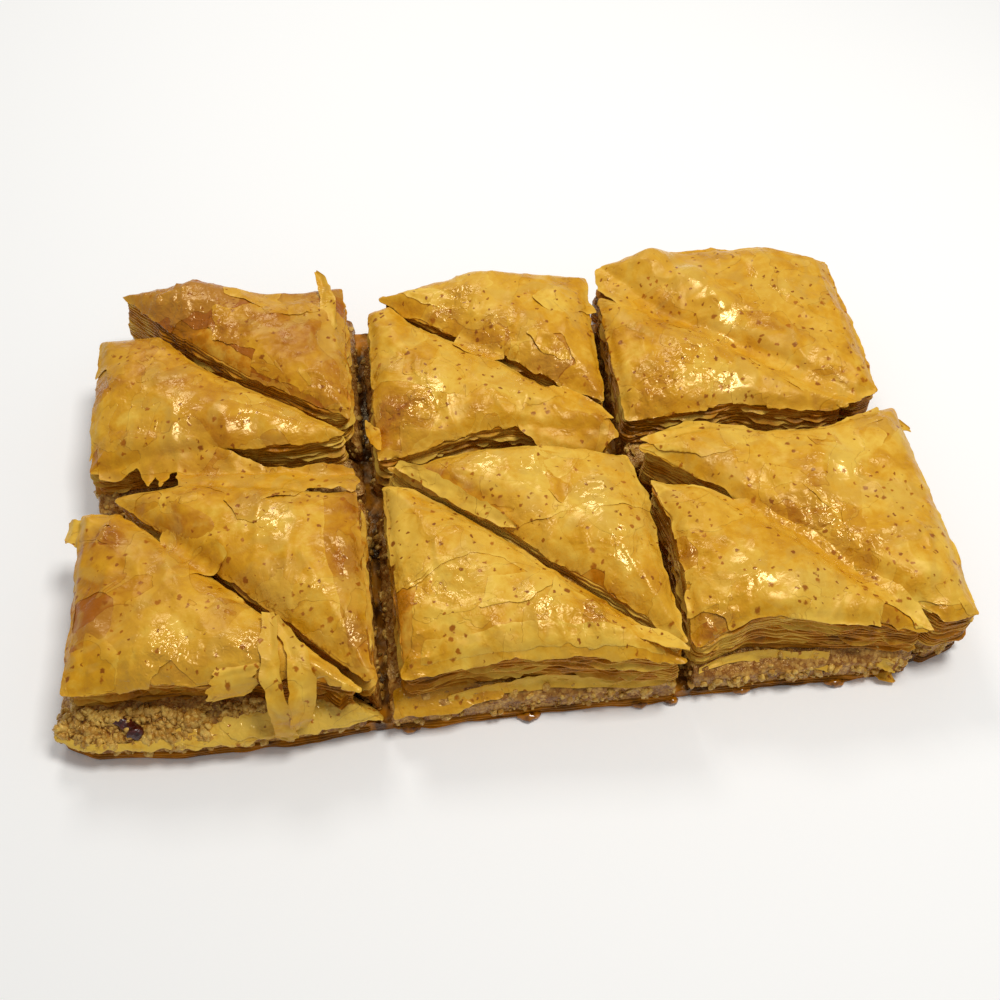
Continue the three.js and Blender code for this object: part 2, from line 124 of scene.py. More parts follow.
# A triangle's outline runs anticlockwise. A puff is (x, y, radius, height) of a blister or a hollow.
# A foot is the outline of the two layers under the crust.
PIECES = {
    "near_left_front": {
        "outline": [(1, 7.6), (26, 6.2), (42, 6.2), (58, 4.8), (70.6, 0.8), (36, 33.5), (10, 57.5),
                    (1, 58)],
        "puffs": [(20, 16, 12, 1.6), (45, 12, 10, 0.8), (12, 38, 9, 1.2), (6, 8, 8, -2.4),
                  (68, 1, 8, -2.5)],
        "foot": [(-5, 13), (-4.6, 3.4), (4, -0.6), (28, -2.6), (54, -2.1), (73.6, -0.8), (36.4, 34.2),
                 (10, 58.2), (-1.4, 59.4)]},
    "near_left_back": {
        "outline": [(73.6, 3.4), (72.6, 35), (72.6, 57.8), (50, 61.5), (25, 65), (9.5, 63), (36, 38)],
        "puffs": [(52, 44, 15, 1.2), (30, 58, 8, 1.4), (70, 50, 7, -1.2), (70, 8, 9, -2)],
        "foot": [(75.4, 1.6), (75.2, 30), (74.8, 66.4), (50, 67.6), (25, 69.2), (6.4, 68), (6.4, 64.2),
                 (35.4, 37.4)]},
    "near_mid_front": {
        "outline": [(82, 3.2), (98, 4.4), (115, 4.6), (134, 2), (150.4, 0), (123, 25.5), (97, 49.5),
                    (88, 56.5), (81, 58.5)],
        "puffs": [(108, 22, 15, 2), (92, 40, 9, 1.4), (84, 6, 7, -2.6), (128, 10, 10, 0.8),
                  (149, 1, 8, -3)],
        "foot": [(77, -1.3), (84, -1.2), (116, -0.7), (151.6, -1.4), (123.4, 26), (97.4, 50), (88.3, 57),
                 (76.8, 60)]},
    "near_mid_back": {
        "outline": [(151.6, 4.5), (149.6, 26), (150, 38), (147.6, 62.6), (130, 66.8), (112, 68),
                    (96, 67.8), (82, 66), (113, 40.5)],
        "puffs": [(137, 40, 9, 2.4), (145, 26, 8, 1.6), (118, 62, 12, 1.6), (90, 63, 8, -2.2),
                  (151, 8, 7, -1.5)],
        "foot": [(152.4, 3), (151, 26), (151.2, 38), (149.8, 66.4), (130, 69.4), (112, 70.4), (96, 69.8),
                 (78.6, 68), (112.6, 39.9)]},
    "near_right_front": {
        "outline": [(154.6, 3), (160.8, 5.6), (169, 7.6), (181, 6.4), (200, 3.6), (213, 1.4), (186, 28),
                    (166, 48.5), (152.6, 52.5), (155.4, 38), (155.6, 26)],
        "puffs": [(175, 9, 11, 3), (180, 24, 12, 1.6), (158, 44, 8, 1), (156, 4, 8, -3),
                  (210, 2, 8, -2.6)],
        "foot": [(153.8, -0.4), (184, -0.2), (198, -1), (214.4, 0), (186.4, 28.6), (166.4, 49.2),
                 (151.4, 53.2), (152.6, 38), (152.4, 26)]},
    "near_right_back": {
        "outline": [(226.3, 4), (225.8, 70), (206, 66), (190, 65.5), (172, 69), (152.8, 65.5),
                    (186, 36.5), (217.8, 3)],
        "puffs": [(196, 54, 10, 1.8), (212, 30, 12, 1), (172, 62, 9, 1.2), (222, 8, 9, -2.4),
                  (218, 62, 9, 1.4)],
        "foot": [(228.3, 5.4), (227.8, 72.2), (206, 69.8), (190, 69.4), (172, 70.8), (151.2, 66.4),
                 (185.5, 36), (217.4, 1.6)]},
    "far_left_front": {
        "outline": [(1, 75.6), (36, 77.6), (58, 77.8), (71, 80), (50, 94), (28, 109), (17, 122.5),
                    (1, 121.5)],
        "puffs": [(18, 96, 12, 1.8), (36, 88, 9, 1.6), (10, 112, 9, 1), (4, 78, 8, -2.6),
                  (66, 82, 8, -1.2)],
        "foot": [(-1, 70.4), (25, 70.8), (50, 69.2), (74.8, 68), (74.8, 78), (50.4, 94.6), (28.4, 109.6),
                 (17.4, 123.4), (-1, 123)]},
    "far_left_back": {
        "outline": [(71.6, 86), (71.4, 137), (45, 139), (25, 141.5), (5.5, 141), (18.5, 127),
                    (43, 104.5)],
        "puffs": [(27, 139, 12, 4.2), (50, 118, 12, 1.6), (56, 136, 12, -1.8), (24, 126, 8, -1.4),
                  (68, 90, 8, -1)],
        "foot": [(74.8, 83), (74.4, 138.6), (45, 141), (25, 143.4), (3.8, 143), (4.6, 140.6), (18, 126.4),
                 (42.6, 103.8)]},
    "far_mid_front": {
        "outline": [(79.5, 70.5), (94, 72.8), (106, 76), (120, 76.4), (144, 73), (143.6, 77.4),
                    (113, 103), (93, 118), (86, 127), (80.3, 125)],
        "puffs": [(98, 92, 12, 2.6), (116, 82, 9, 1.8), (86, 112, 9, 1), (82, 74, 8, -3),
                  (136, 76, 9, -1.4)],
        "foot": [(76.6, 69.2), (94, 71.4), (112, 72), (130, 71), (146.6, 68.4), (145.6, 77.6),
                 (113.4, 103.6), (93.3, 118.5), (85.8, 126.8), (76.2, 125.6)]},
    "far_mid_back": {
        "outline": [(144.9, 84), (145, 110), (147, 133), (115, 136.5), (84, 131.5), (99, 118),
                    (119, 103)],
        "puffs": [(117, 134, 20, 3.6), (136, 112, 12, 1.6), (104, 122, 8, -1.4), (142, 90, 8, -0.8)],
        "foot": [(147.2, 81.6), (147.2, 110), (148.8, 134.8), (115, 138.5), (80.6, 134.2), (98.6, 117.4),
                 (118.6, 102.4)]},
    "far_right_front": {
        "outline": [(151, 78), (171, 77), (184, 78), (200, 74.8), (214, 74.4), (186, 98), (166, 113.5),
                    (151, 124)],
        "puffs": [(172, 92, 13, 2.8), (190, 84, 8, 1.4), (156, 112, 9, 0.8), (154, 80, 8, -2.6),
                  (206, 77, 8, -1)],
        "foot": [(149.2, 68.6), (172, 72.3), (190, 71.2), (206, 71.6), (217, 72.8), (186.4, 98.6),
                 (166.4, 114.2), (149.2, 125.6)]},
    "far_right_back": {
        "outline": [(224.3, 79.5), (224, 130.5), (206, 138.5), (172, 142), (152.8, 138), (170, 115),
                    (190, 100), (218, 77.5)],
        "puffs": [(168, 136, 6, 4), (178, 126, 5, 2.4), (186, 116, 5, 2), (208, 134, 15, 2.6),
                  (206, 108, 14, 1.2), (222, 80, 9, -1.6)],
        "foot": [(226.3, 75), (226, 131.6), (206.6, 140.4), (172, 144), (150.6, 139.6), (169.6, 114.4),
                 (189.6, 99.4), (217.6, 76.6)]},
}

# Places where syrup soaked through the top leaves, (x, y, radius): wrinkled, darker and glossy.
WET_PATCHES = [
    (20, 134, 11), (31, 122, 9), (38, 113, 6), (24, 9, 8), (85, 26, 6), (84, 9, 6), (157, 28, 5),
    (160, 8, 7), (191, 35, 8), (198, 25, 7), (87, 82, 8), (131, 97, 8), (116, 108, 5), (68, 38, 5),
    (71, 14, 5), (160, 82, 7), (172, 93, 8), (46, 11, 6), (130, 12, 7), (9, 49, 4), (3, 101, 4),
    (104, 122, 7), (142, 30, 5), (66, 96, 6), (136, 16, 5),
]

# Places where the syrup dried smooth and glossy, (x, y, radius). The leaves are also painted paler there, as
# a highlight.
GLAZE_AND_HIGHLIGHT_PLACES = [
    (14, 89, 9), (24, 87, 9), (44, 86, 8), (56, 85, 7), (136, 46, 9), (141, 34, 8), (26, 14, 9),
    (44, 12, 6), (96, 24, 8), (118, 17, 7), (95, 86, 8), (118, 90, 8), (172, 18, 9), (186, 14, 7),
    (205, 52, 8), (196, 34, 7), (172, 90, 10), (180, 84, 8), (200, 118, 10), (186, 108, 8), (120, 58, 8),
    (108, 62, 6), (50, 47, 8), (60, 24, 7), (40, 3, 8), (62, 2, 8), (139, 25, 6), (141, 18, 5),
    (173, 136, 3.5), (177, 130, 3.5), (180, 124, 3.5), (183, 118, 3.5), (186, 112, 3.5), (190, 105, 3.5),
]

# Hollows of the cut walls, (x, y, radius, depth), under an overhang of the upper leaves. The wall is also
# painted darker in them, as shade.
WALL_HOLLOWS = [(22, 6, 20, 3.2), (45, 6, 9, 1.6), (94, 4, 11, 1.8), (66, 3, 6, 2.0), (176, 6, 6, 1.0)]

# Stretches of wall made darker or paler, (x, y, radius, change of soak).
WALL_TONES = [
    (166, 3, 14, -0.26), (100, 4, 12, -0.16), (142, 1, 9, -0.14), (196, 2, 10, 0.06), (62, 3, 10, 0.08),
    (12, 7, 10, -0.14), (28, 121, 12, 0.3), (44, 105, 12, 0.26), (60, 90, 10, 0.16), (8, 128, 12, 0.3),
    (58, 78, 16, -0.14), (95, 75, 18, -0.1), (120, 77, 12, -0.06),
]

# Parts of the leaves on top made darker or paler, (x, y, radius, change of soak). Some are painted shade
# where less light falls: the left edge of the near left triangle and the right-hand triangles.
LEAF_TONES_AND_SHADE = [
    (12, 42, 12, 0.3), (7.5, 24, 8, 0.4), (21, 134, 9, -0.16), (65, 116, 12, 0.12), (50, 108, 20, 0.1),
    (100, 23, 12, -0.14), (213, 10, 9, -0.18), (203, 42, 14, 0.12), (188, 112, 26, 0.16),
    (175, 24, 20, 0.1), (92.5, 64, 1.8, 0.5), (96, 61, 1.8, 0.5), (99.5, 57.8, 1.8, 0.5),
    (103, 54.6, 1.8, 0.5), (106.5, 51.5, 1.8, 0.5), (110, 48.3, 1.8, 0.5), (112, 36, 34, 0.05),
    (50, 42, 16, -0.07),
]

# Nuts that spilled out under the crust, (x, y, radius).
NUT_MOUNDS = [(4, 8, 5), (12, 5, 6), (22, 4.5, 6), (33, 5, 6), (44, 5, 5)]

# How far the lower leaves of all walls lean out, and of some walls also into the cut on their near side.
COMMON_LEAN = 0.7
WALL_LEANS = {"near_mid_back": 2.6, "far_left_back": 2.2, "near_right_back": 1.6, "near_left_back": 0.8}

# Leaves of phyllo on top. Each lies over the piece that its name begins with, or over some named pieces, at a
# lift above the stack. It covers an outline, or the whole of those pieces out to a reach past their edges,
# less some holes and torn bites of (x, y, radius). Soak is how much syrup it took up, from 0, pale and dry,
# to 1, brown. Sag is its fall past an edge. Leaf 1 of a piece is its lower leaf and leaf 2 its upper leaf.
LEAVES = [
    {"name": "near_left_front_leaf_1", "soak": 0.46, "reach": 0.6, "bites": [(36, 3, 4), (60, 1, 4)]},
    {"name": "near_left_front_leaf_2", "soak": 0.3, "reach": 0.7,
     "holes": [[(2, 31), (8, 32.5), (13, 29.6), (12, 22.6), (9.6, 16), (2, 17)],
               [(6, 51.6), (9, 52.6), (12.4, 49), (11.6, 46), (7, 46.7)]],
     "bites": [(26, 3, 5), (62, 1, 5), (33, 39, 3)]},
    {"name": "near_left_back_leaf_1", "soak": 0.48, "reach": 0.6, "bites": [(60, 62, 4)]},
    {"name": "near_left_back_leaf_2", "soak": 0.3, "reach": 0.7,
     "holes": [[(63.5, 62), (64.3, 39), (67.5, 21), (69.4, 9.5), (72, 2), (78, 0), (80, 34), (77, 62)]],
     "bites": [(18, 60, 4)]},
    {"name": "near_mid_front_leaf_1", "soak": 0.32, "reach": 1.1,
     "holes": [[(76, 34), (84, 34), (87, 26), (85, 18), (84, 10), (80, 4), (76, 8)]]},
    {"name": "near_mid_front_leaf_2", "soak": 0.24,
     "outline": [(81, 58.5), (88, 57), (97, 50), (111.4, 36), (123, 25), (136, 12), (141, 6),
                 (132.8, 9.4), (123.3, 18.9), (115.4, 25.2), (108.3, 29.6), (102.2, 32.1), (93.1, 29.8),
                 (84.5, 24.5), (81.5, 29), (81, 40)]},
    {"name": "near_mid_front_edge_leaf", "lift": 0.42, "soak": 0.22, "reach": 0.3,
     "outline": [(86, 5), (97, 5.4), (115, 5.8), (134, 3.5), (146, 1.2), (140, 6.6), (126, 9), (112, 11),
                 (96, 9), (88, 10)]},
    {"name": "near_mid_back_leaf_1", "soak": 0.34, "reach": 0.5, "bites": [(131, 22, 3)]},
    {"name": "near_mid_back_leaf_2", "lift": 0.34, "soak": 0.24, "reach": 0.3,
     "outline": [(96.3, 67), (112.8, 68.4), (129.2, 67.4), (147, 62.4), (148.6, 54), (151, 49.5),
                 (150, 43.6), (137, 42.4), (125.6, 42.8), (117.5, 41.5), (112.6, 40.3), (105.3, 49),
                 (99.5, 57)]},
    {"name": "near_right_front_leaf_1", "soak": 0.5, "reach": 0.5},
    {"name": "near_right_front_leaf_2", "over": ["near_right_front", "near_right_back"], "lift": 0.5,
     "soak": 0.28, "sag": 0.2,
     "outline": [(153.6, 2), (160.8, 4.6), (169, 6.6), (181, 5.4), (200, 2.6), (214.4, 0.6), (212, 9),
                 (207, 15.4), (199.4, 19), (199.6, 23.4), (193, 30), (186.4, 35.6), (179.4, 43.4),
                 (173, 45), (166, 49), (152.4, 53.4), (154.6, 38), (154.8, 26)],
     "holes": [[(150, 34), (157, 33), (159.6, 27.5), (158, 20), (153, 17), (150, 22)],
               [(150, 11), (157, 11), (162, 7.6), (163, 3), (152, 0)]], "bites": [(206, 3, 4)]},
    {"name": "near_right_back_leaf_1", "soak": 0.44, "reach": 0.6},
    {"name": "near_right_back_leaf_2", "soak": 0.28, "reach": 0.9,
     "holes": [[(184, 45), (191, 44.5), (195, 39), (198, 33), (193, 30.5), (187, 35)]],
     "bites": [(220, 3, 5)]},
    {"name": "far_left_front_leaf_1", "soak": 0.5, "reach": 0.5},
    {"name": "far_left_front_leaf_2", "soak": 0.34, "reach": 0.8,
     "holes": [[(-3, 108.7), (3.1, 108), (5.8, 99), (2.8, 95.8), (-3, 97)]],
     "bites": [(52, 77, 4), (69, 79, 4), (3, 79, 4)]},
    {"name": "far_left_back_leaf_1", "soak": 0.66, "reach": 0.5,
     "holes": [[(18, 124), (24, 126), (32, 121), (40, 112), (46, 107), (44, 102), (30, 110)]]},
    {"name": "far_left_back_leaf_2", "soak": 0.4, "reach": 0.4,
     "outline": [(34.2, 128.3), (40.1, 127), (50, 129.5), (59.5, 128.4), (68.4, 127), (71.6, 124),
                 (71.6, 88), (65.5, 90.5), (53.3, 99.6), (44.8, 105.8), (47, 110.3), (41.8, 112.9),
                 (34.5, 117.8)]},
    {"name": "far_mid_front_leaf_1", "soak": 0.46, "reach": 0.5},
    {"name": "far_mid_front_leaf_2", "soak": 0.28, "reach": 0.7,
     "holes": [[(77, 94), (82, 95), (90, 92), (96, 87.5), (97, 80), (93, 74), (85, 70), (76, 70)]],
     "bites": [(112, 76, 3)]},
    {"name": "far_mid_back_leaf_1", "soak": 0.52, "reach": 0.5},
    {"name": "far_mid_back_leaf_2", "soak": 0.32, "reach": 0.8,
     "holes": [[(110, 113.5), (119.9, 113.6), (121.4, 104), (118, 101), (111, 106)],
               [(123, 103.8), (135.2, 105.3), (138, 96), (131, 91.6), (123.6, 96.7)]]},
    {"name": "far_mid_back_flap", "lift": 0.6, "soak": 0.22, "sag": 0.15,
     "outline": [(128.4, 121), (132.3, 116.3), (137.1, 114), (142.3, 116), (148.4, 118.8), (147.6, 122.4),
                 (140, 126.7), (133.8, 126.5)]},
    {"name": "far_right_front_leaf_1", "soak": 0.48, "reach": 0.7},
    {"name": "far_right_front_leaf_2", "soak": 0.3, "reach": 0.9, "bites": [(178, 77, 5), (188, 76, 4)]},
    {"name": "far_right_back_leaf_1", "soak": 0.5, "reach": 0.5},
    {"name": "far_right_back_leaf_2", "over": ["far_right_front", "far_right_back"], "lift": 0.5,
     "soak": 0.28, "reach": 0.6, "sag": 0.16,
     "outline": [(151.5, 129), (151.5, 136), (155, 138.6), (172, 142.6), (190, 140.8), (206, 138.9),
                 (223.6, 131), (224.4, 96), (224.2, 78), (218, 76), (212.8, 74.6), (201.6, 79.3),
                 (192, 89), (181, 100), (168, 108.4), (158, 117)]},
    # Torn leaves that lie across the cuts.
    {"name": "row_cut_flap_left", "over": ["far_left_front", "near_left_back"], "lift": 0.55,
     "soak": 0.36, "sag": 0.13,
     "outline": [(2, 81.5), (5.5, 87), (15, 84), (31.5, 79.4), (39.5, 76), (48.5, 72), (56, 70.6),
                 (64, 71.6), (72, 70), (74, 63), (72, 57), (68.5, 61.5), (66.5, 60), (60, 62), (57, 57),
                 (48.5, 55), (42.5, 57), (37, 61), (31.5, 64), (26, 65), (24.5, 71.5), (22.5, 72),
                 (20.5, 66), (18.5, 73), (17, 67.5), (13.5, 74), (9, 72), (3, 72.5)]},
    {"name": "diagonal_patch_near_left", "over": ["near_left_front", "near_left_back"], "lift": 0.4,
     "soak": 0.24, "sag": 0.2,
     "outline": [(21.6, 49), (22.7, 42.2), (24.7, 35.6), (28.8, 33.9), (31.4, 36), (35.4, 36.4),
                 (39.6, 39.5), (35, 46), (29, 51), (24, 53.5)]},
    {"name": "diagonal_patch_far_mid", "over": ["far_mid_front", "far_mid_back"], "lift": 0.55,
     "soak": 0.3, "sag": 0.16,
     "outline": [(103.5, 108), (106.6, 113), (112.5, 116.5), (119, 110), (118, 101.6), (112, 101.6),
                 (106.5, 104)]},
    {"name": "diagonal_patch_far_mid_tip", "over": ["far_mid_front", "far_mid_back"], "lift": 0.55,
     "soak": 0.26, "sag": 0.16,
     "outline": [(127, 90.5), (134, 91), (143, 83.5), (147, 77), (139, 75), (128, 82)]},
    {"name": "right_end_leaf", "over": ["near_right_back"], "lift": 0.55, "soak": 0.24, "reach": 0.5,
     "outline": [(204.5, 38), (207, 49), (218, 56), (225.5, 62), (226.8, 26), (226.6, 7), (219, 6),
                 (209, 10), (200.5, 15), (197, 18), (203, 28)]},
    {"name": "row_cut_flap_right", "over": ["near_right_back"], "lift": 0.55, "soak": 0.28, "sag": 0.12,
     "outline": [(152.5, 68), (160, 71.5), (167.5, 74.6), (174, 72), (180.5, 68.9), (188, 65),
                 (198, 65.6), (207.5, 66.5), (218, 69.8), (221.5, 70.6), (219.5, 64), (200.5, 58),
                 (184, 60), (167, 57), (157, 63)]},
    {"name": "row_cut_flap_mid", "over": ["far_mid_front"], "lift": 0.55, "soak": 0.4, "sag": 0.2,
     "outline": [(115.5, 79), (122.5, 80.5), (134, 82), (145, 79), (147, 71), (142, 67.6), (133, 68.6),
                 (124, 71)]},
]

# Leaves on the ledges that the lower layers make at the slab's near side.
LEDGE_LEAVES = [
    {"name": "near_left_ledge_leaf", "ledge": "near_left_front", "lift": 0.5, "soak": 0.04,
     "outline": [(34, 4.4), (40.4, 5.6), (55.2, 6.4), (66.4, 6.7), (74, 5.6), (74.6, -0.4), (62.4, -2.5),
                 (50.2, -3.2), (38.0, -3.0), (35.6, 0)]},
    {"name": "near_left_ledge_scrap", "ledge": "near_left_front", "lift": 0.25, "soak": 0.06,
     "outline": [(22, 1.8), (28, 3.4), (33, 2.4), (32, -2), (24, -2.6)]},
    {"name": "near_left_ledge_under", "ledge": "near_left_front", "lift": 0.1, "soak": 0.1,
     "outline": [(-4, 4), (2, 0.4), (12, -0.8), (20, -1), (26, 1.6), (31, 4.6), (56, 6.5), (75, 6),
                 (75.6, -1.4), (54, -3.3), (28, -3.7), (4, -1.8), (-5.6, 2.6)]},
    {"name": "near_mid_ledge_leaf", "ledge": "near_mid_front", "lift": 0.2, "soak": 0.46,
     "outline": [(78.4, 5.2), (88, 5), (98, 4.6), (106.5, 4), (106, 0.6), (95, -1.6), (85, -1.9),
                 (78, -1.8)]},
]

# Ribbons of dough: a line of (x, y, z, width) and the direction across it.
RIBBONS = [
    {"name": "hanging_strip_1", "soak": 0.24, "side": (1, -0.1, 0),
     "line": [(50, 21.5, 26.4, 3), (50.2, 13, 27.4, 4.6), (50.6, 5, 26, 5), (51, -0.8, 20.8, 5.2),
              (51.6, -3.1, 14, 5.4), (52, -3.9, 8.6, 4.8)]},
    {"name": "hanging_strip_2", "soak": 0.26, "side": (1, 0.25, 0),
     "line": [(51, 20, 26.6, 2.4), (54.6, 13.6, 27.2, 4), (57, 6, 26.4, 5.4), (57.2, 0.2, 21.8, 6),
              (56.4, -2.4, 15.6, 5.4), (55.2, -3.2, 11.4, 3)]},
    {"name": "near_mid_back_fold", "soak": 0.04, "side": (0.55, 0.6, 0.55),
     "line": [(84.4, 65.6, 24.6, 1.8), (89, 62, 25.4, 4.4), (95.4, 56.2, 25.7, 4.6),
              (102.2, 50, 25.9, 4.8), (108.4, 44.6, 26, 4), (114, 40.6, 25.6, 1)]},
    {"name": "near_mid_tip_fold", "soak": 0.12, "side": (0.3, 0.8, -0.3),
     "line": [(136, 8.4, 24.4, 2.4), (141, 6.4, 24.2, 4.6), (146.6, 4.4, 23.6, 5.6),
              (152, 1.6, 22, 1.2)]},
    {"name": "near_left_hanging_point", "soak": 0.22, "side": (1, 0.1, 0.05),
     "line": [(41, 9, 25.6, 9), (41.2, 6, 25, 12), (40.8, 3.8, 22.4, 12), (39.6, 2.8, 19.6, 8)]},
    {"name": "near_shelf_strip_mid", "soak": 0.2, "side": (0, 0.5, 0.86),
     "line": [(92, 1.2, 10.2, 1.8), (101, 2, 10.7, 3.4), (109, 2.4, 11, 3.8), (117, 2.5, 11.2, 4),
              (129, 1.4, 11.3, 3.8), (141, 0.4, 11.2, 4), (149.6, 0.2, 10.8, 3)]},
    {"name": "near_shelf_strip_right", "soak": 0.16, "side": (0, 0.55, 0.83),
     "line": [(156, 1.6, 10.4, 1.4), (163, 3.4, 10.8, 2.6), (171, 4, 10.8, 3.2), (179, 3, 10, 4.6),
              (186, 1.6, 9, 6), (190.6, 1, 8.4, 6.4)]},
    {"name": "near_right_flake", "soak": 0.12, "side": (0.2, 0.3, 1),
     "line": [(203.4, 0.6, 7.4, 2.4), (206, -1, 7, 4.4), (208.2, -1.9, 6.4, 2.4)]},
    {"name": "near_right_foot_flake", "soak": 0.4, "side": (1, 0.6, 0.1),
     "line": [(203.6, 1.2, 2.6, 2.6), (206.4, -1.2, 1.6, 3.6), (208.8, -3, 0.8, 0.9)]},
    {"name": "left_side_frill", "soak": 0.16, "side": (0.1, 1, 0),
     "line": [(4, 54, 21.5, 8), (-1.4, 55, 20.8, 8), (-4.2, 57, 19, 5)]},
    {"name": "column_cut_curl", "soak": 0.24, "side": (0, 1, 0.2),
     "line": [(83, 76.5, 20.5, 5), (78.8, 77, 22.6, 7), (76.6, 78, 26.2, 5)]},
    {"name": "right_side_point", "soak": 0.18, "side": (0, 1, 0.2),
     "line": [(221, 66, 22, 8), (227, 66.4, 21.2, 4), (230.6, 64.8, 20, 1.2)]},
    {"name": "far_left_tip", "soak": 0.22, "side": (0.8, 0.5, 0.2),
     "line": [(69, 118, 25, 3), (67.8, 128, 26, 5), (66.6, 136, 26.6, 4), (64.6, 141.4, 27, 1)]},
]

# Scraps soaked in syrup lie this high in the cuts, inside this outline.
BED_TOP = 3.4
BED_OUTLINE = [(4, 4), (40, 0.5), (75, -0.6), (115, 0.6), (152.4, -0.2), (190, 1), (218, 3), (222, 34),
               (222, 70), (219, 100), (214, 128), (152, 133), (76, 136), (20, 133), (4, 108), (2, 70),
               (2, 30)]

# Where crumbs lie on the filling: (least x, most x, most y, least z, most z, share of the crumb density).
# A later place counts over those before it. The rest of the sides has the common share.
CRUMB_PLACES = [
    (-9, 240, 4, 3.2, 7.2, 0.55), (25, 108, 4, 4.6, 30, 0.0), (-9, 33, 9, 6, 30, 2.6),
    (-9, 48, 12, 11, 30, 2.6), (48, 108, 9, 7.2, 30, 0.0),
]
COMMON_CRUMBS = 0.1
CRUMBS_FAR_END = 138  # no crumbs beyond this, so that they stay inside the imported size

# Sticky lumps: a line of (x, y, z, radius).
DATE_LINE = [(8.6, 5.6, 10.9, 0.8), (11, 4.6, 10.7, 1.9), (13.4, 3, 10.1, 1.7), (15, 1.2, 9.8, 2.1),
             (15.8, -0.6, 9, 1.0)]
SYRUP_LINES = [
    [(79.6, -1, 0.5, 0.5), (81.6, -1.4, 0.8, 1.1), (84.6, -1.2, 0.6, 0.6)],
    [(109, -0.8, 0.5, 0.6), (112.5, -1.5, 0.9, 1.3), (115.5, -0.8, 0.5, 0.6)],
    [(139, -1, 0.4, 0.5), (141.3, -1.5, 0.8, 1.0), (143.5, -1, 0.4, 0.5)],
    [(147.6, -1.1, 0.5, 0.5), (149.8, -1.4, 0.8, 1.0), (151.4, -1, 0.4, 0.5)],
    [(190.5, -0.5, 0.4, 0.5), (193.4, -1.3, 0.8, 1.1), (196, -0.9, 0.5, 0.6)],
    [(166, -0.2, 0.4, 0.5), (168.5, -0.6, 0.7, 0.9), (171, -0.3, 0.4, 0.5)],
]

# The stage. Lamps are (name, place and size in metres, share of the light power).
ROOM_LIGHT = 0.34
LAMPS = [("overhead", (0.2, 0.0, 0.68), 0.19, 1.0), ("window", (-0.1, 0.5, 0.55), 0.19, 0.45)]
FLOOR_SIDE = 3.0  # half its width, in metres
FLOOR_DROP = 0.0002  # how far it lies below the slab, in metres
CAMERA_PLACE = (87.44, -126.18, 268.89)
CAMERA_RIGHT = (0.9928, -0.1197, 0.0086)
CAMERA_UP = (0.0917, 0.8029, 0.5890)
CAMERA_BACK = (-0.0774, -0.5840, 0.8081)
SENSOR_WIDTH = 36.0


# ----------------------------------------------------------------------
# Numbers: noise, distance and height
# ----------------------------------------------------------------------

def lattice(ix, iy, iz, seed):
    """A repeatable random value from -1 to 1 for each lattice point, by a hash of whole numbers."""
    h = (ix * 374761393 + iy * 668265263 + iz * 1440662683 + seed * 1274126177) & 0xFFFFFFFF
    h = ((h ^ (h >> 13)) * 1274126177) & 0xFFFFFFFF
    return ((h ^ (h >> 16)) & 0xFFFF) / 32767.5 - 1.0


def noise(x, y, size, seed, z=0.0):
    """Smooth value noise, about -1 to 1, whose features are about size wide."""
    p = [np.asarray(v, float) / size + 0.37 * seed for v in (x, y, z)]
    p = np.broadcast_arrays(*p)
    cell = [np.floor(v).astype(np.int64) for v in p]
    part = [v - c for v, c in zip(p, cell)]
    part = [v * v * (3 - 2 * v) for v in part]
    total = 0.0
    for dx in (0, 1):
        for dy in (0, 1):
            for dz in (0, 1):
                weight = 1.0
                for v, d in zip(part, (dx, dy, dz)):
                    weight = weight * (v if d else 1 - v)
                total = total + weight * lattice(cell[0] + dx, cell[1] + dy, cell[2] + dz, seed)
    return total


def ridges(x, y, size, seed):
    """Creases: 1 along thin winding lines, falling to 0 between them."""
    return (1 - np.abs(noise(x, y, size, seed))) ** 4


def polygon_distance(polygon, x, y):
    """Distance to a polygon's edge, positive inside it."""
    corners = np.asarray(polygon, float)
    best = np.full(np.shape(x), 1e9)
    inside = np.zeros(np.shape(x), bool)
    for (ax, ay), (bx, by) in zip(corners, np.roll(corners, -1, axis=0)):
        ex, ey = bx - ax, by - ay
        t = np.clip(((x - ax) * ex + (y - ay) * ey) / (ex * ex + ey * ey), 0, 1)
        best = np.minimum(best, np.hypot(x - ax - t * ex, y - ay - t * ey))
        slope = ex / ey if ey else 0.0
        inside ^= ((ay > y) != (by > y)) & (x < ax + slope * (y - ay))
    return np.where(inside, best, -best)


def nearest_on(polygon, points):
    """The nearest point of a polygon's edge to each point."""
    corners = np.asarray(polygon, float)
    best = np.full(len(points), 1e9)
    found = points.copy()
    for a, b in zip(corners, np.roll(corners, -1, axis=0)):
        e = b - a
        t = np.clip(((points - a) @ e) / (e @ e), 0, 1)
        foot = a + t[:, None] * e
        d = np.hypot(*(points - foot).T)
        found = np.where((d < best)[:, None], foot, found)
        best = np.minimum(best, d)
    return found


def spot(x, y, middle_x, middle_y, radius):
    """1 in the middle of a spot, falling to 0 around it."""
    return np.exp(-((x - middle_x) ** 2 + (y - middle_y) ** 2) / radius**2)


def bumps(places, x, y):
    """A field that is 1 at each of some places of (x, y, radius) and falls to 0 around them."""
    total = np.zeros(np.shape(x))
    for place in places:
        total = np.maximum(total, spot(x, y, *place))
    return total


def soft_spots(places, x, y):
    """Sum of the amounts of some places of (x, y, radius, amount), each fading out around it."""
    return sum(amount * spot(x, y, *place) for *place, amount in places)


def piece_seed(name):
    """The seed of a piece, from its place in the layout."""
    return 11 + 7 * list(PIECES).index(name)


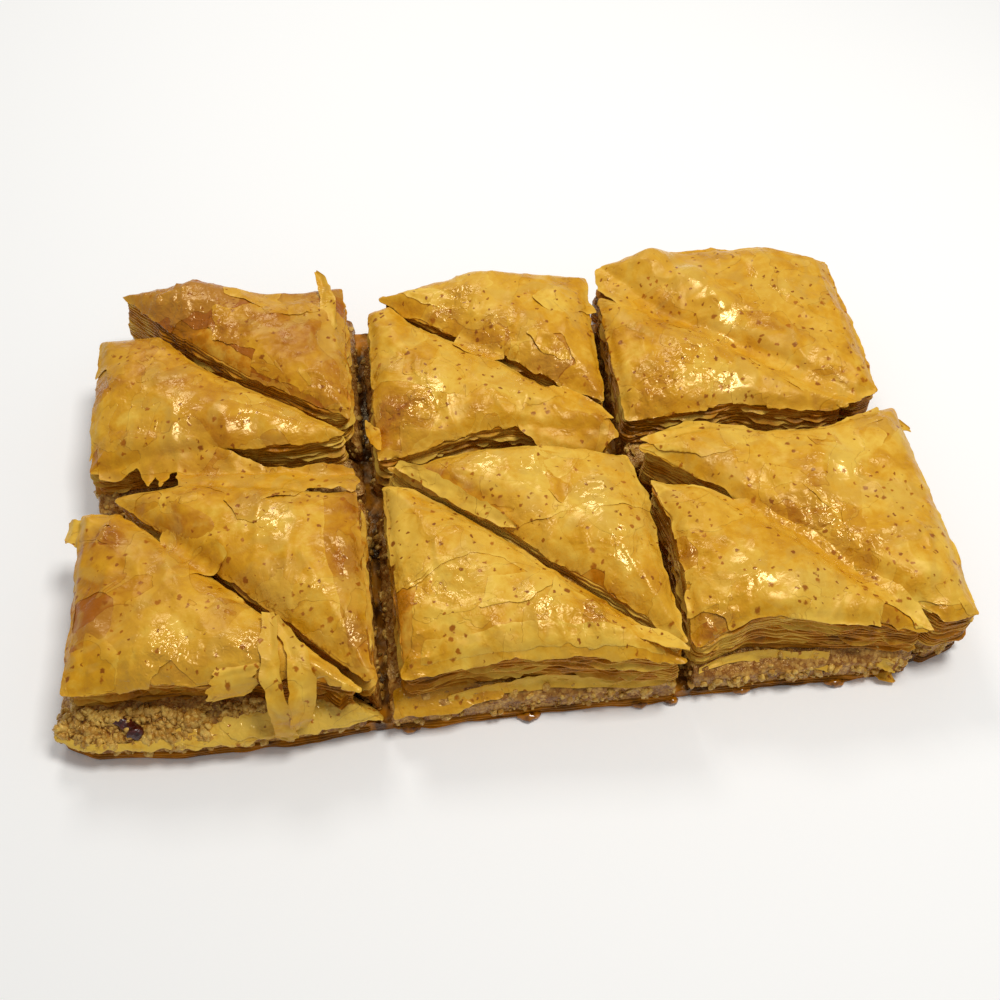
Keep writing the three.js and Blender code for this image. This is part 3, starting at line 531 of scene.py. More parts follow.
def stack_height(name, x, y, sag=SAG):
    """Height of the stack of leaves of a piece, and past its edge the fall of a leaf that hangs over."""
    piece = PIECES[name]
    d = polygon_distance(piece["outline"], x, y)
    crown = 1 - (1 - np.clip(d / CROWN_REACH, 0, 1)) ** 2
    rim = np.clip(1 - d / EDGE_ROUND, 0, 1) ** 2
    z = CRUST_EDGE + CROWN * crown - EDGE_DROP * rim * (d > 0) - EDGE_DROP * (d <= 0)
    for *place, height in piece["puffs"]:
        z = z + height * spot(x, y, *place)
    past = np.clip(-d, 0, None)
    return z - sag * past - SAG_GROWTH * sag * past**2


def drape_height(names, x, y, sag=SAG):
    """The surface that a leaf over several pieces lies on, with puckers and creases that all leaves share."""
    bridge = 0.6  # how softly the leaf goes from one stack to the next
    z = stack_height(names[0], x, y, sag)
    for name in names[1:]:
        gap = z - stack_height(name, x, y, sag)
        z = z - 0.5 * gap + 0.5 * np.sqrt(gap * gap + bridge)
    for height, size, seed in ((0.55, 13, 3), (0.5, 6.5, 5), (0.26, 3.1, 4)):
        z = z + height * noise(x, y, size, seed)
    folds = 0.6 * ridges(x + 0.5 * y, y - 0.3 * x, 11, 31) + 0.5 * ridges(x, 0.6 * y, 7.5, 33)
    wet = 0.2 + bumps(WET_PATCHES, x, y)
    return z + folds + wet * (0.8 * ridges(x, y, 5.2, 6) + 0.5 * ridges(x, y, 2.6, 8) - 0.35)


def ledge_height(name, x, y):
    """The top of the lower layers where they stand out from under the crust."""
    inside = polygon_distance(PIECES[name]["foot"], x, y)
    apart = np.clip(-polygon_distance(PIECES[name]["outline"], x, y), 0, None)
    share = np.clip(inside, 0, None) / (np.clip(inside, 0, None) + apart + 1e-6)
    past = np.clip(-inside, 0, None)
    wave = 0.35 * noise(x, y, 6, 21) + 0.2 * ridges(x, y, 3.5, 22)
    lowest = 2.0
    return np.maximum(SHELF_Z + (FILLING_TOP - SHELF_Z) * share + wave - 0.7 * past - 0.3 * past**2, lowest)


def under_limit(z):
    """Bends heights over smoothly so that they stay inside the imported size."""
    soft = 1.2
    bend = TOP_LIMIT - soft
    return np.where(z > bend, bend + soft * np.tanh((z - bend) / soft), z)


# ----------------------------------------------------------------------
# Meshes
# ----------------------------------------------------------------------

def rounded_outline(polygon, radius, step):
    """Points at equal steps round a polygon whose sharp corners are rounded."""
    corners = [np.array(p, float) for p in polygon]
    line = []
    for i, here in enumerate(corners):
        into = here - corners[i - 1]
        away = corners[(i + 1) % len(corners)] - here
        into, away = into / np.hypot(*into), away / np.hypot(*away)
        turn = math.acos(max(-1.0, min(1.0, float(into @ away))))
        cut = radius * math.tan(min(turn, 2.0) / 2)
        start, end = here - cut * into, here + cut * away
        steps = 7 if turn > 0.7 else 3  # more round a sharp corner
        for t in np.linspace(0, 1, steps):
            line.append((1 - t) ** 2 * start + 2 * t * (1 - t) * here + t * t * end)
    line = np.array(line + [line[0]])
    run = np.concatenate([[0], np.cumsum(np.hypot(*np.diff(line, axis=0).T))])
    count = int(run[-1] / step)
    at = np.linspace(0, run[-1], count, endpoint=False)
    return np.stack([np.interp(at, run, line[:, 0]), np.interp(at, run, line[:, 1])], 1), at, run[-1]


def outward(points):
    """Outward normals of a closed anticlockwise line of points."""
    along = np.roll(points, -1, axis=0) - np.roll(points, 1, axis=0)
    along /= np.maximum(np.hypot(*along.T), 1e-9)[:, None]
    return np.stack([along[:, 1], -along[:, 0]], 1)


def round_noise(at, length, size, seed, level=0.0):
    """Noise along a closed line, without a seam. Level moves through it from line to line."""
    radius = length / (2 * math.pi)
    angle = at / radius
    return noise(radius * np.cos(angle), radius * np.sin(angle), size, seed, level * size)


def ring_faces(levels, count, closed=False):
    """Quads between rings of count points, from the bottom up, or round and back to the first ring."""
    faces = []
    for r in range(levels if closed else levels - 1):
        low, high = r * count, (r + 1) % levels * count
        for i in range(count):
            j = (i + 1) % count
            faces.append((low + i, low + j, high + j, high + i))
    return faces


def fan(ring_start, count, middle, upward):
    """Triangles from a ring to a middle point."""
    faces = [(middle, ring_start + i, ring_start + (i + 1) % count) for i in range(count)]
    return faces if upward else [face[::-1] for face in faces]


def lofted(rings):
    """A closed mesh over rings of equal count, from the bottom up."""
    count, levels = len(rings[0]), len(rings)
    points = np.concatenate([*rings, [rings[0].mean(0)], [rings[-1].mean(0)]])
    faces = ring_faces(levels, count)
    faces += fan(0, count, levels * count, False) + fan((levels - 1) * count, count, levels * count + 1, True)
    return points, faces


def cap_points(outline, step, seed):
    """Points inside an outline, on a jittered grid."""
    low, high = outline.min(0), outline.max(0)
    gx, gy = np.meshgrid(np.arange(low[0], high[0], step), np.arange(low[1], high[1], step))
    x, y = gx.ravel(), gy.ravel()
    x = x + 0.25 * step * noise(x, y, step * 0.7, seed)
    y = y + 0.25 * step * noise(y, x, step * 0.7, seed + 1)
    keep = polygon_distance(outline[::3], x, y) > 0.6 * step
    return np.stack([x[keep], y[keep]], 1)


def grid_triangles(x0, x1, y0, y1, step, seed):
    """A triangulated field of jittered points."""
    nx, ny = int((x1 - x0) / step) + 2, int((y1 - y0) / step) + 2
    gx, gy = np.meshgrid(x0 + step * np.arange(nx), y0 + step * np.arange(ny))
    gx = gx + 0.5 * step * (np.arange(ny) % 2)[:, None]
    x, y = gx.ravel(), gy.ravel()
    points = np.stack([x + 0.2 * step * noise(x, y, step, seed), y + 0.2 * step * noise(y, x, step, seed)], 1)
    at = np.arange(nx * ny).reshape(ny, nx)
    a, b, c, d = at[:-1, :-1], at[:-1, 1:], at[1:, 1:], at[1:, :-1]
    odd = ((np.arange(ny - 1) % 2)[:, None] * np.ones_like(a))[..., None] == 1
    first = np.where(odd, np.stack([a, b, c], -1), np.stack([a, b, d], -1))
    second = np.where(odd, np.stack([a, c, d], -1), np.stack([b, c, d], -1))
    return points, np.concatenate([first.reshape(-1, 3), second.reshape(-1, 3)])


def edge_table(faces):
    """Directed edges of triangles and a mask of those on the boundary."""
    edges = np.concatenate([faces[:, [0, 1]], faces[:, [1, 2]], faces[:, [2, 0]]])
    low, high = edges.min(1), edges.max(1)
    key = low.astype(np.int64) * (int(faces.max()) + 1) + high
    _, where, times = np.unique(key, return_inverse=True, return_counts=True)
    return edges, times[where.ravel()] == 1


def without_scraps(points, faces, least=60):
    """Drops pinched corners, islands of fewer than least triangles and unused points."""
    passes = 6
    for _ in range(passes):
        edges, rim = edge_table(faces)
        times = np.bincount(edges[rim].ravel(), minlength=len(points))
        pinched = times > 2
        if not pinched.any():
            break
        faces = faces[~pinched[faces].any(1)]
    label = np.arange(len(points))
    while True:
        new = label.copy()
        np.minimum.at(new, faces.ravel(), np.repeat(label[faces].min(1), 3))
        new = new[new]
        if (new == label).all():
            break
        label = new
    size = np.bincount(label[faces[:, 0]], minlength=len(points))
    faces = faces[size[label[faces[:, 0]]] >= least]
    used = np.unique(faces)
    index = np.zeros(len(points), np.int64)
    index[used] = np.arange(len(used))
    return points[used], index[faces]


def trimmed(points, faces, level):
    """The part of a triangulated field where level is above zero, cut along the line where it is zero."""
    nearest = 0.06  # no cut passes closer to a point than this
    level = np.where(np.abs(level) < nearest, nearest, level)
    keep = level > 0
    count = keep[faces].sum(1)
    done = [tuple(f) for f in faces[count == 3]]
    extra, made = [], {}

    def crossing(i, j):
        key = (i, j) if i < j else (j, i)
        if key not in made:
            t = level[i] / (level[i] - level[j])
            made[key] = len(points) + len(extra)
            extra.append(points[i] + t * (points[j] - points[i]))
        return made[key]

    for face in faces[(count == 1) | (count == 2)]:
        ring = []
        for i, j in zip(face, np.roll(face, -1)):
            if keep[i]:
                ring.append(int(i))
            if keep[i] != keep[j]:
                ring.append(crossing(int(i), int(j)))
        done.extend((ring[0], ring[k], ring[k + 1]) for k in range(1, len(ring) - 1))
    points = np.concatenate([points, np.array(extra).reshape(-1, 2)])
    return without_scraps(points, np.array(done))


def closed_sheet(top, below, faces):
    """Closes a triangulated sheet with an underside and an edge."""
    count = len(top)
    edges, rim = edge_table(faces)
    a, b = edges[rim].T
    edge = np.concatenate([np.stack([b, a, a + count], 1), np.stack([b, a + count, b + count], 1)])
    return np.concatenate([top, below]), np.concatenate([faces, faces[:, ::-1] + count, edge])


def unit(vectors):
    """Rows of a table of vectors at length 1."""
    return vectors / np.maximum(np.linalg.norm(vectors, axis=1), 1e-9)[:, None]


def spline(line, steps):
    """A smooth path through the rows of a table, with the place of each point along it."""
    line = np.array(line, float)
    t = np.arange((len(line) - 1) * steps + 1) / steps
    k = np.clip(t.astype(int), 0, len(line) - 2)
    u = (t - k)[:, None]
    p0, p1 = line[np.maximum(k - 1, 0)], line[k]
    p2, p3 = line[k + 1], line[np.minimum(k + 2, len(line) - 1)]
    bend, twist = 2 * p0 - 5 * p1 + 4 * p2 - p3, 3 * p1 - p0 - 3 * p2 + p3
    return 0.5 * (2 * p1 + (p2 - p0) * u + bend * u**2 + twist * u**3), t


def torn_ribbon(line, side, thickness, seed):
    """A closed ribbon with an uneven edge along a line of (x, y, z, width)."""
    path, t = spline(line, 14)
    across = np.array(side, float)
    across /= np.linalg.norm(across)
    along = np.gradient(path[:, :3], axis=0)
    up = unit(np.cross(along, across))
    if up[:, 2].sum() < 0:
        up = -up
    lanes = 11
    v = np.linspace(-1, 1, lanes)
    left, right = (
        path[:, 3] / 2 * (1 + 0.3 * noise(t * 3, 0, 1.6, start) + 0.16 * noise(t * 3, 0, 0.6, start + 1))
        for start in (seed, seed + 3))
    reach = np.where(v[None] < 0, v[None] * left[:, None], v[None] * right[:, None])
    curl = 0.4 * noise(t[:, None] * 3, v[None] * 1.5, 1.1, seed + 5) + 0.3 * v[None] ** 2
    rows = path[:, None, :3] + reach[..., None] * across + curl[..., None] * up[:, None]
    lower = rows - thickness * up[:, None]
    at = np.arange(rows.shape[0] * lanes).reshape(-1, lanes)
    quads = np.stack([at[:-1, :-1], at[:-1, 1:], at[1:, 1:], at[1:, :-1]], -1).reshape(-1, 4)
    faces = np.concatenate([quads[:, [0, 1, 2]], quads[:, [0, 2, 3]]])
    top, below = rows.reshape(-1, 3), lower.reshape(-1, 3)
    a, b, c = (top[faces[:, i]] for i in range(3))
    if (np.cross(b - a, c - a) * np.repeat(up, lanes, axis=0)[faces[:, 0]]).sum() < 0:
        faces = faces[:, ::-1]
    return closed_sheet(top, below, faces)


def sticky_lump(line, seed, floor=0.02):
    """A closed wrinkled lump along a line of (x, y, z, radius) that doesn't sink into the floor."""
    path, t = spline(line, 8)
    count = 18  # points round the lump
    angle = np.linspace(0, 2 * math.pi, count, endpoint=False)
    along = np.gradient(path[:, :3], axis=0)
    across = unit(np.cross(along, (0, 0, 1.0)))
    up = unit(np.cross(across, along))
    s = t / t[-1]
    radius = path[:, 3] * np.sqrt(np.clip(1 - (2 * s - 1) ** 8, 0.02, 1))
    bump = 1 + 0.28 * noise(t[:, None] * 4 + np.cos(angle), np.sin(angle) * 2, 1.2, seed)
    ring = (np.cos(angle)[None, :, None] * across[:, None] + 0.8 * np.sin(angle)[None, :, None] * up[:, None])
    rows = path[:, None, :3] + ring * (radius[:, None] * bump)[..., None]
    rows[..., 2] = np.maximum(rows[..., 2], floor)
    points = rows.reshape(-1, 3)
    along_ring, along_line = points[1] - points[0], points[count] - points[0]
    inside_out = np.cross(along_ring, along_line) @ (points[0] - path[0, :3]) < 0
    points, faces = lofted(list(rows))
    return points, [face[::-1] for face in faces] if inside_out else faces


def new_mesh(name, points, faces, layers):
    """A mesh from slab millimetres, with layers of values of its points by name."""
    mesh = bpy.data.meshes.new(name)
    place = (np.asarray(points) + np.array(NEAR_LEFT_CORNER)) * MM
    mesh.from_pydata(place.tolist(), [], faces if isinstance(faces, list) else faces.tolist())
    mesh.update()
    for key, values in layers.items():
        layer = mesh.attributes.new(key, "FLOAT", "POINT")
        layer.data.foreach_set("value", np.broadcast_to(np.asarray(values, np.float32), len(place)).copy())
    return mesh


def new_object(name, data):
    """An object in the scene, at the origin."""
    made = bpy.data.objects.new(name, data)
    bpy.context.scene.collection.objects.link(made)
    return made


def new_piece(name, points, faces, material, layers=None, smooth_angle=50.0):
    """A mesh object from slab millimetres, riding on the slab's one body, with layers of values by name."""
    mesh = new_mesh(name, points, faces, layers or {})
    mesh.polygons.foreach_set("use_smooth", np.ones(len(mesh.polygons), bool))
    mesh.set_sharp_from_angle(angle=math.radians(smooth_angle))
    mesh.materials.append(material)
    return mount_piece(name, mesh)


def mount_piece(name, mesh):
    """A mesh as a piece at the origin, on the slab's one body."""
    piece = new_object(name, mesh)
    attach(piece, "root")
    return piece


# ----------------------------------------------------------------------
# Materials
# ----------------------------------------------------------------------

def linear(hex_colour):
    """Linear RGBA of an sRGB hex colour."""
    channels = [int(hex_colour[i:i + 2], 16) / 255 for i in (1, 3, 5)]
    return tuple(c / 12.92 if c <= 0.04045 else ((c + 0.055) / 1.055) ** 2.4 for c in channels) + (1.0,)


def add_node(tree, kind, settings=None, links=None):
    """Adds a node. Settings are its properties, and links its inputs: a value, or a socket to link from."""
    node = tree.nodes.new(kind)
    for key, value in (settings or {}).items():
        setattr(node, key, value)
    for key, value in (links or {}).items():
        if isinstance(value, bpy.types.NodeSocket):
            tree.links.new(value, node.inputs[key])
        else:
            node.inputs[key].default_value = value
    return node


def new_material(name):
    """A material with an empty node tree, and the place on the piece as a socket."""
    material = bpy.data.materials.new(name)
    material.use_nodes = True
    tree = material.node_tree
    tree.nodes.clear()
    place = add_node(tree, "ShaderNodeTexCoord").outputs["Object"]
    return material, tree, place


def per_mm(size):
    """Texture scale on metre coordinates for features of this many millimetres."""
    return 1.0 / (size * MM)


def maths(tree, operation, *values, clamp=False):
    """One step of arithmetic on values or sockets."""
    settings = {"operation": operation, "use_clamp": clamp}
    return add_node(tree, "ShaderNodeMath", settings, dict(enumerate(values))).outputs[0]


def remap(tree, value, source, target, curve="LINEAR"):
    """A value carried from one range to another and held there."""
    links = {"Value": value}
    links.update(zip(("From Min", "From Max", "To Min", "To Max"), (*source, *target)))
    return add_node(tree, "ShaderNodeMapRange", {"interpolation_type": curve}, links).outputs[0]


def noise_texture(tree, place, size, detail, roughness=0.5, distortion=0.0, kind="FBM", output="Fac"):
    """Noise with features of this many millimetres."""
    node = add_node(tree, "ShaderNodeTexNoise", {"noise_type": kind}, {
        "Vector": place, "Scale": per_mm(size), "Detail": detail, "Roughness": roughness,
        "Distortion": distortion})
    return node.outputs[output]


def nudged(tree, place, size, amount):
    """A place pushed about by noise, by up to this many millimetres."""
    wander = noise_texture(tree, place, size, detail=2.0, output="Color")
    links = {0: wander, 1: [amount * MM] * 3, 2: place}
    return add_node(tree, "ShaderNodeVectorMath", {"operation": "MULTIPLY_ADD"}, links).outputs[0]


def scaled(tree, vector, factor):
    """A vector made longer or shorter."""
    links = {0: vector, "Scale": factor}
    return add_node(tree, "ShaderNodeVectorMath", {"operation": "SCALE"}, links).outputs[0]


def blend(tree, share, under, over, mode="MIX"):
    """A colour laid over another."""
    settings = {"data_type": "RGBA", "blend_type": mode}
    return add_node(tree, "ShaderNodeMix", settings, {0: share, 6: under, 7: over}).outputs[2]


def ramp(tree, factor, stops):
    """A colour ramp of (place, colour) stops, each colour an sRGB hex or linear RGB."""
    node = add_node(tree, "ShaderNodeValToRGB", links={"Fac": factor})
    elements = node.color_ramp.elements
    while len(elements) < len(stops):
        elements.new(0.5)
    for element, (place, colour) in zip(elements, stops):
        element.position = place
        element.color = linear(colour) if isinstance(colour, str) else (*colour, 1.0)
    return node.outputs["Color"]


def add_shader(tree, colour, roughness, height=None, strength=1.0, distance=0.001, **more):
    """The shader and the output: a colour, a roughness, bumps up to a distance in metres, and more inputs."""
    links = {"Base Color": colour, "Roughness": roughness}
    if height:
        bump = add_node(tree, "ShaderNodeBump", links={
            "Height": height, "Strength": strength, "Distance": distance})
        links["Normal"] = bump.outputs[0]
    links.update((key.replace("_", " "), value) for key, value in more.items())
    shader = add_node(tree, "ShaderNodeBsdfPrincipled", links=links)
    add_node(tree, "ShaderNodeOutputMaterial", links={"Surface": shader.outputs[0]})


def freckled(tree, place, colour, share_of_cells):
    """Brown blisters of two sizes over a colour, in crowds."""
    cells_at = nudged(tree, place, size=1.3, amount=1.8)
    groups = noise_texture(tree, place, size=16, detail=1.0)
    crowd = remap(tree, groups, (0.38, 0.62), (0.2, 1.6))
    blisters = tint = None
    for size, share, largest in ((4.2, share_of_cells, 0.16), (2.3, share_of_cells * 0.8, 0.2)):
        cells = add_node(tree, "ShaderNodeTexVoronoi", {"voronoi_dimensions": "2D"},
                         {"Vector": cells_at, "Scale": per_mm(size)})
        pick = add_node(tree, "ShaderNodeSeparateColor", links={"Color": cells.outputs["Color"]})
        least = maths(tree, "MULTIPLY_ADD", crowd, -share, 1.0)
        reach = remap(tree, pick.outputs[0], (least, 0.95), (-0.03, largest))
        edge = maths(tree, "SUBTRACT", reach, cells.outputs["Distance"])
        blister = remap(tree, edge, (-0.05, 0.05), (0.0, 0.95))
        tint = tint or pick.outputs[1]
        blisters = maths(tree, "MAXIMUM", blisters, blister) if blisters else blister
    return blend(tree, blisters, colour, ramp(tree, tint, [(0.0, DARK_BLISTER), (1.0, PALE_BLISTER)]))


def phyllo_material(name, stops, crinkle, roughness, gloss_level, freckles=0.0, overlaps=0.0):
    """Baked phyllo brushed with butter and syrup, with brown blisters and a broken gloss.

    Its leaves are yellow where they lie smooth, orange where syrup soaked in and wrinkled them, and greyer
    where they dried loose. A mesh says where by its values soak, wet and glaze. Soak also carries painted
    shade and painted highlights in places.
    """
    material, tree, place = new_material(name)
    soak, wet, glaze_and_highlight = (add_node(tree, "ShaderNodeAttribute", {"attribute_name": layer}).outputs["Fac"]
                        for layer in ("soak", "wet", "glaze_and_highlight"))
    clouds = noise_texture(tree, place, size=9, detail=4.0, roughness=0.55, distortion=0.7)
    streaks = noise_texture(tree, place, size=2.6, detail=3.0, roughness=0.6, distortion=0.5)
    shade = maths(tree, "MULTIPLY_ADD", clouds, 1.05, soak)
    shade = maths(tree, "MULTIPLY_ADD", streaks, 0.5, shade)
    colour = ramp(tree, maths(tree, "SUBTRACT", shade, 0.785), stops)

    # Places where the top leaf lies loose and dry.
    air = noise_texture(tree, place, size=14, detail=3.0, distortion=1.5)
    loose = remap(tree, air, (0.5, 0.62), (0.0, 0.45 * overlaps), "SMOOTHSTEP")
    dry = maths(tree, "SUBTRACT", loose, wet, clamp=True)
    colour = blend(tree, dry, colour, linear(DRY_LEAF))

    # Places that one more leaf covers, and its torn brown edge.
    layers = noise_texture(tree, place, size=19, detail=4.0, roughness=0.42, distortion=0.8)
    covered = remap(tree, layers, (0.5, 0.503), (0.0, 0.2 * overlaps))
    colour = blend(tree, covered, colour, (*stops[0][1], 1.0))
    nearness = maths(tree, "COMPARE", layers, 0.4985, 0.0025)
    torn = remap(tree, streaks, (0.35, 0.6), (0.0, 0.36 * overlaps))
    colour = blend(tree, maths(tree, "MULTIPLY", nearness, torn), colour, linear(TORN_EDGE))
    if freckles:
        colour = freckled(tree, place, colour, freckles)

    # Wrinkles, and the film of syrup that gathers in them.
    fine = noise_texture(tree, place, size=1.5, detail=1.0, distortion=0.6)
    patches = remap(tree, clouds, (0.5, 0.68), (0.12, 0.55))
    wrinkled = maths(tree, "MULTIPLY_ADD", wet, 0.6, patches)
    wrinkled = maths(tree, "MULTIPLY_ADD", glaze_and_highlight, 0.12, wrinkled)
    creases = noise_texture(tree, place, size=7.5, detail=2.0, roughness=0.4, distortion=0.8,
                            kind="RIDGED_MULTIFRACTAL")
    relief = maths(tree, "MULTIPLY_ADD", creases, 0.7, maths(tree, "MULTIPLY", fine, wrinkled))
    relief = maths(tree, "MULTIPLY_ADD", covered, 0.9, relief)
    syrup = maths(tree, "MAXIMUM", wrinkled, glaze_and_highlight)
    film = remap(tree, syrup, (0.1, 0.9), (gloss_level * 0.6, gloss_level * 1.6))
    gloss = remap(tree, syrup, (0.1, 0.9), (roughness + 0.06, roughness - 0.18))
    add_shader(tree, colour, gloss, relief, strength=crinkle, distance=0.001, IOR=1.45,
               Specular_IOR_Level=film, Specular_Tint=linear(BUTTER_GLOSS))
    return material


def nut_material(name, brown, pale, damp_and_shade_share):
    """Ground nuts bound with syrup: coarse moist crumbs, beige inside, brown at the skins and where damp,
    with painted shade in the gaps between the crumbs.
    """
    material, tree, place = new_material(name)
    crumbs = add_node(tree, "ShaderNodeTexVoronoi",
                      links={"Vector": nudged(tree, place, size=0.8, amount=0.9), "Scale": per_mm(1.1)})
    tint = add_node(tree, "ShaderNodeSeparateColor", links={"Color": crumbs.outputs["Color"]})
    colour = ramp(tree, tint.outputs[0], [(0.0, brown), (0.8, pale)])
    # Painted shade in the gaps between the crumbs.
    gap_shade = ramp(tree, crumbs.outputs["Distance"], [(0.3, WHITE), (0.75, NUT_GAP_SHADE)])
    colour = blend(tree, damp_and_shade_share, colour, gap_shade, "MULTIPLY")
    damp = noise_texture(tree, place, size=6, detail=4.0)
    colour = blend(tree, damp_and_shade_share, colour, ramp(tree, damp, [(0.36, DAMP_NUT), (0.64, WHITE)]), "MULTIPLY")
    grain = noise_texture(tree, place, size=0.7, detail=3.0)
    add_shader(tree, colour, 0.24, grain, strength=0.8, distance=0.0005, IOR=1.47, Specular_IOR_Level=0.8,
               Specular_Tint=linear(NUT_GLOSS))
    return material


def sticky_material(name, dark, light, wrinkle, roughness):
    """Syrup or syrupy dried fruit: clear and wet over a dark body."""
    material, tree, place = new_material(name)
    skin = noise_texture(tree, place, size=1.5, detail=3.0)
    colour = ramp(tree, skin, [(0.3, dark), (0.7, light)])
    add_shader(tree, colour, roughness, skin, strength=wrinkle, distance=0.0006, IOR=1.45, Coat_Weight=0.5,
               Coat_Roughness=0.06)
    return material


def floor_material(name, colour):
    """A plain matt sheet of paper."""
    material, tree, _ = new_material(name)
    add_shader(tree, (*colour, 1.0), roughness=0.9)
    return material


# ----------------------------------------------------------------------
# Pieces
# ----------------------------------------------------------------------

def swell(share, shift):
    """A share of the height, from 0 at the bottom through 1 to 0 at the top, moved down by a shift."""
    return math.sin(math.pi * min(1.0, share + shift))


def ply_wave(wave, seed, share):
    """How far a leaf in a cut wall rises and falls along it."""
    return (0.9 * wave(15, seed, share * 1.2) + 0.3 * wave(5, seed + 1, share * 6)) * swell(share, 0.04)


def walled_outline(polygon, step):
    """Points round a polygon, their outward normals, and the noise along them: wave(size, seed, level)."""
    outline, at, length = rounded_outline(polygon, CORNER_RADIUS, step)

    def wave(size, seed, level=0.0):
        return round_noise(at, length, size, seed, level)

    return outline, outward(outline), wave


def cut_wall(name):
    """The wall around one stack: its outline, normals and noise, and its top, hollows and lean."""
    outline, normal, wave = walled_outline(PIECES[name]["outline"], WALL_STEP)
    top = under_limit(drape_height([name], *outline.T) - 0.1)
    near_facing = np.clip(-0.7 * normal.sum(1), 0, 1) ** 2
    lean = COMMON_LEAN + WALL_LEANS.get(name, 0) * near_facing
    return outline, normal, wave, top, soft_spots(WALL_HOLLOWS, *outline.T), lean


def build_crust(name):
    """The stack of phyllo leaves of one triangle, with its cut walls."""
    seed = piece_seed(name)
    outline, normal, wave, top, hollow, lean = cut_wall(name)
    height = (top - CRUST_BOTTOM) / PLIES
    rings, soak = [], []
    for k in range(PLIES):
        share = k / PLIES
        low = CRUST_BOTTOM + height * k + ply_wave(wave, seed, share)
        lobes = 0.7 * wave(6.5, seed + 7, 0.15 * k) * swell(share, 0.25)
        set_back = hollow * swell(share, 0.15)
        leaning = lean * (1 - share)
        fray = np.clip(wave(7, seed + 2, k * 1.3) - 0.4, 0, 1) * 2.0
        out = 0.2 + 0.35 * wave(3.5, seed + 3, k * 1.1) + fray + leaning + lobes - set_back
        groove = -0.45 - 0.3 * wave(6, seed + 4, k * 0.9) + leaning + lobes - set_back
        # Painted shade: the plies are darker where the wall is set back under a hollow and where a lobe bends
        # in. They are paler where the wall leans out.
        tone = 0.4 + 0.26 * wave(9, seed + 5, k * 0.4) - 0.24 * lobes + 0.08 * set_back
        tone = tone - 0.12 * (lean - COMMON_LEAN) + soft_spots(WALL_TONES, *outline.T)
        # Painted shade: the groove rings between plies are darker.
        steps = ((0.0, groove, 0.3), (0.25, out, 0.0), (0.6, out - 0.1, 0.04), (0.82, groove, 0.3))
        for part, push, dark in steps:
            z = low + part * height - 0.3 * fray * (0 < part < 0.7)
            z = np.maximum(z, CRUST_BOTTOM + 0.02 * len(rings))
            ring = outline + normal * push[:, None]
            rings.append(np.column_stack([ring[:, 0], np.minimum(ring[:, 1], FAR_LIMIT), z]))
            soak.append(np.clip(tone + dark, 0, 1))
    rings[0][:, 2] = CRUST_BOTTOM
    rings.append(np.column_stack([outline, top]))
    soak.append(np.full(len(outline), 0.4))
    count = len(outline)
    points = np.concatenate([*rings, [rings[0].mean(0)]])
    faces = ring_faces(len(rings), count) + fan(0, count, len(points) - 1, False)
    soak.append([0.8])

    # The cap is triangulated between the top ring and new points inside it.
    seeds = [Vector(p) for p in np.concatenate([outline, cap_points(outline, 0.9, seed)])]
    flat, _, cap, origin = geometry.delaunay_2d_cdt(seeds, [], [list(range(count))], 1, 1e-6)[:4]
    start = (len(rings) - 1) * count
    index, inner = {}, []
    for i, source in enumerate(origin):
        rim = [s for s in source if s < count]
        if rim:
            index[i] = start + rim[0]
        else:
            index[i] = len(points) + len(inner)
            inner.append(tuple(flat[i]))
    x, y = np.array(inner).T
    points = np.concatenate([points, np.column_stack([x, y, under_limit(drape_height([name], x, y))])])
    faces += [tuple(index[i] for i in f) for f in cap]
    return points, faces, np.concatenate(soak + [0.36 + 0.2 * noise(x, y, 9, seed)])


def build_fringe(name):
    """Single leaves that stand out of the cut walls of one triangle, with torn edges."""
    seed = piece_seed(name)
    outline, normal, wave, top, hollow, lean = cut_wall(name)
    points, faces, soak = [], [], []
    count = len(outline)
    for k in range(FRINGES):
        share = 0.12 + 0.8 * k / FRINGES
        low = CRUST_BOTTOM + (top - CRUST_BOTTOM) * share + ply_wave(wave, seed, share)
        set_back = hollow * swell(share, 0.15)
        reach = 1.9 * wave(8, seed + 20, k * 1.7) + 0.9 * wave(2.4, seed + 21, k * 1.9)
        reach = np.clip(reach + 0.1 + lean * (1 - share), -1.5, lean + 1.2) - set_back
        rings = []
        for lane in np.linspace(1, 0, FRINGE_LANES):
            offset = -FRINGE_ROOT - set_back + (reach + FRINGE_ROOT + set_back) * lane
            past = np.clip(offset + 0.5 + set_back, 0, None)
            z = low - 0.28 * past - 0.1 * past**2 + 0.25 * lane * wave(3, seed + 22, k)
            ring = outline + normal * offset[:, None]
            ring[:, 1] = np.minimum(ring[:, 1], FAR_LIMIT)
            rings.append(np.column_stack([ring, np.maximum(z, CRUST_BOTTOM - 1.5)]))
            tone = 0.4 - 0.2 * share + 0.28 * wave(10, seed + 23, k * 1.1) - 0.1 * lane
            # Painted shade: darker where the wall is set back under a hollow.
            soak.append(np.clip(tone + 0.1 * set_back + soft_spots(WALL_TONES, *outline.T), 0, 1))
        lower = [ring - np.array([0, 0, LEAF_THICK]) for ring in rings[::-1]]
        soak += [soak[-1 - i] for i in range(FRINGE_LANES)]
        loop = ring_faces(2 * FRINGE_LANES, count, closed=True)
        faces += [tuple(i + len(points) * count for i in f) for f in loop]
        points += rings + lower
    return np.concatenate(points), faces, np.concatenate(soak)


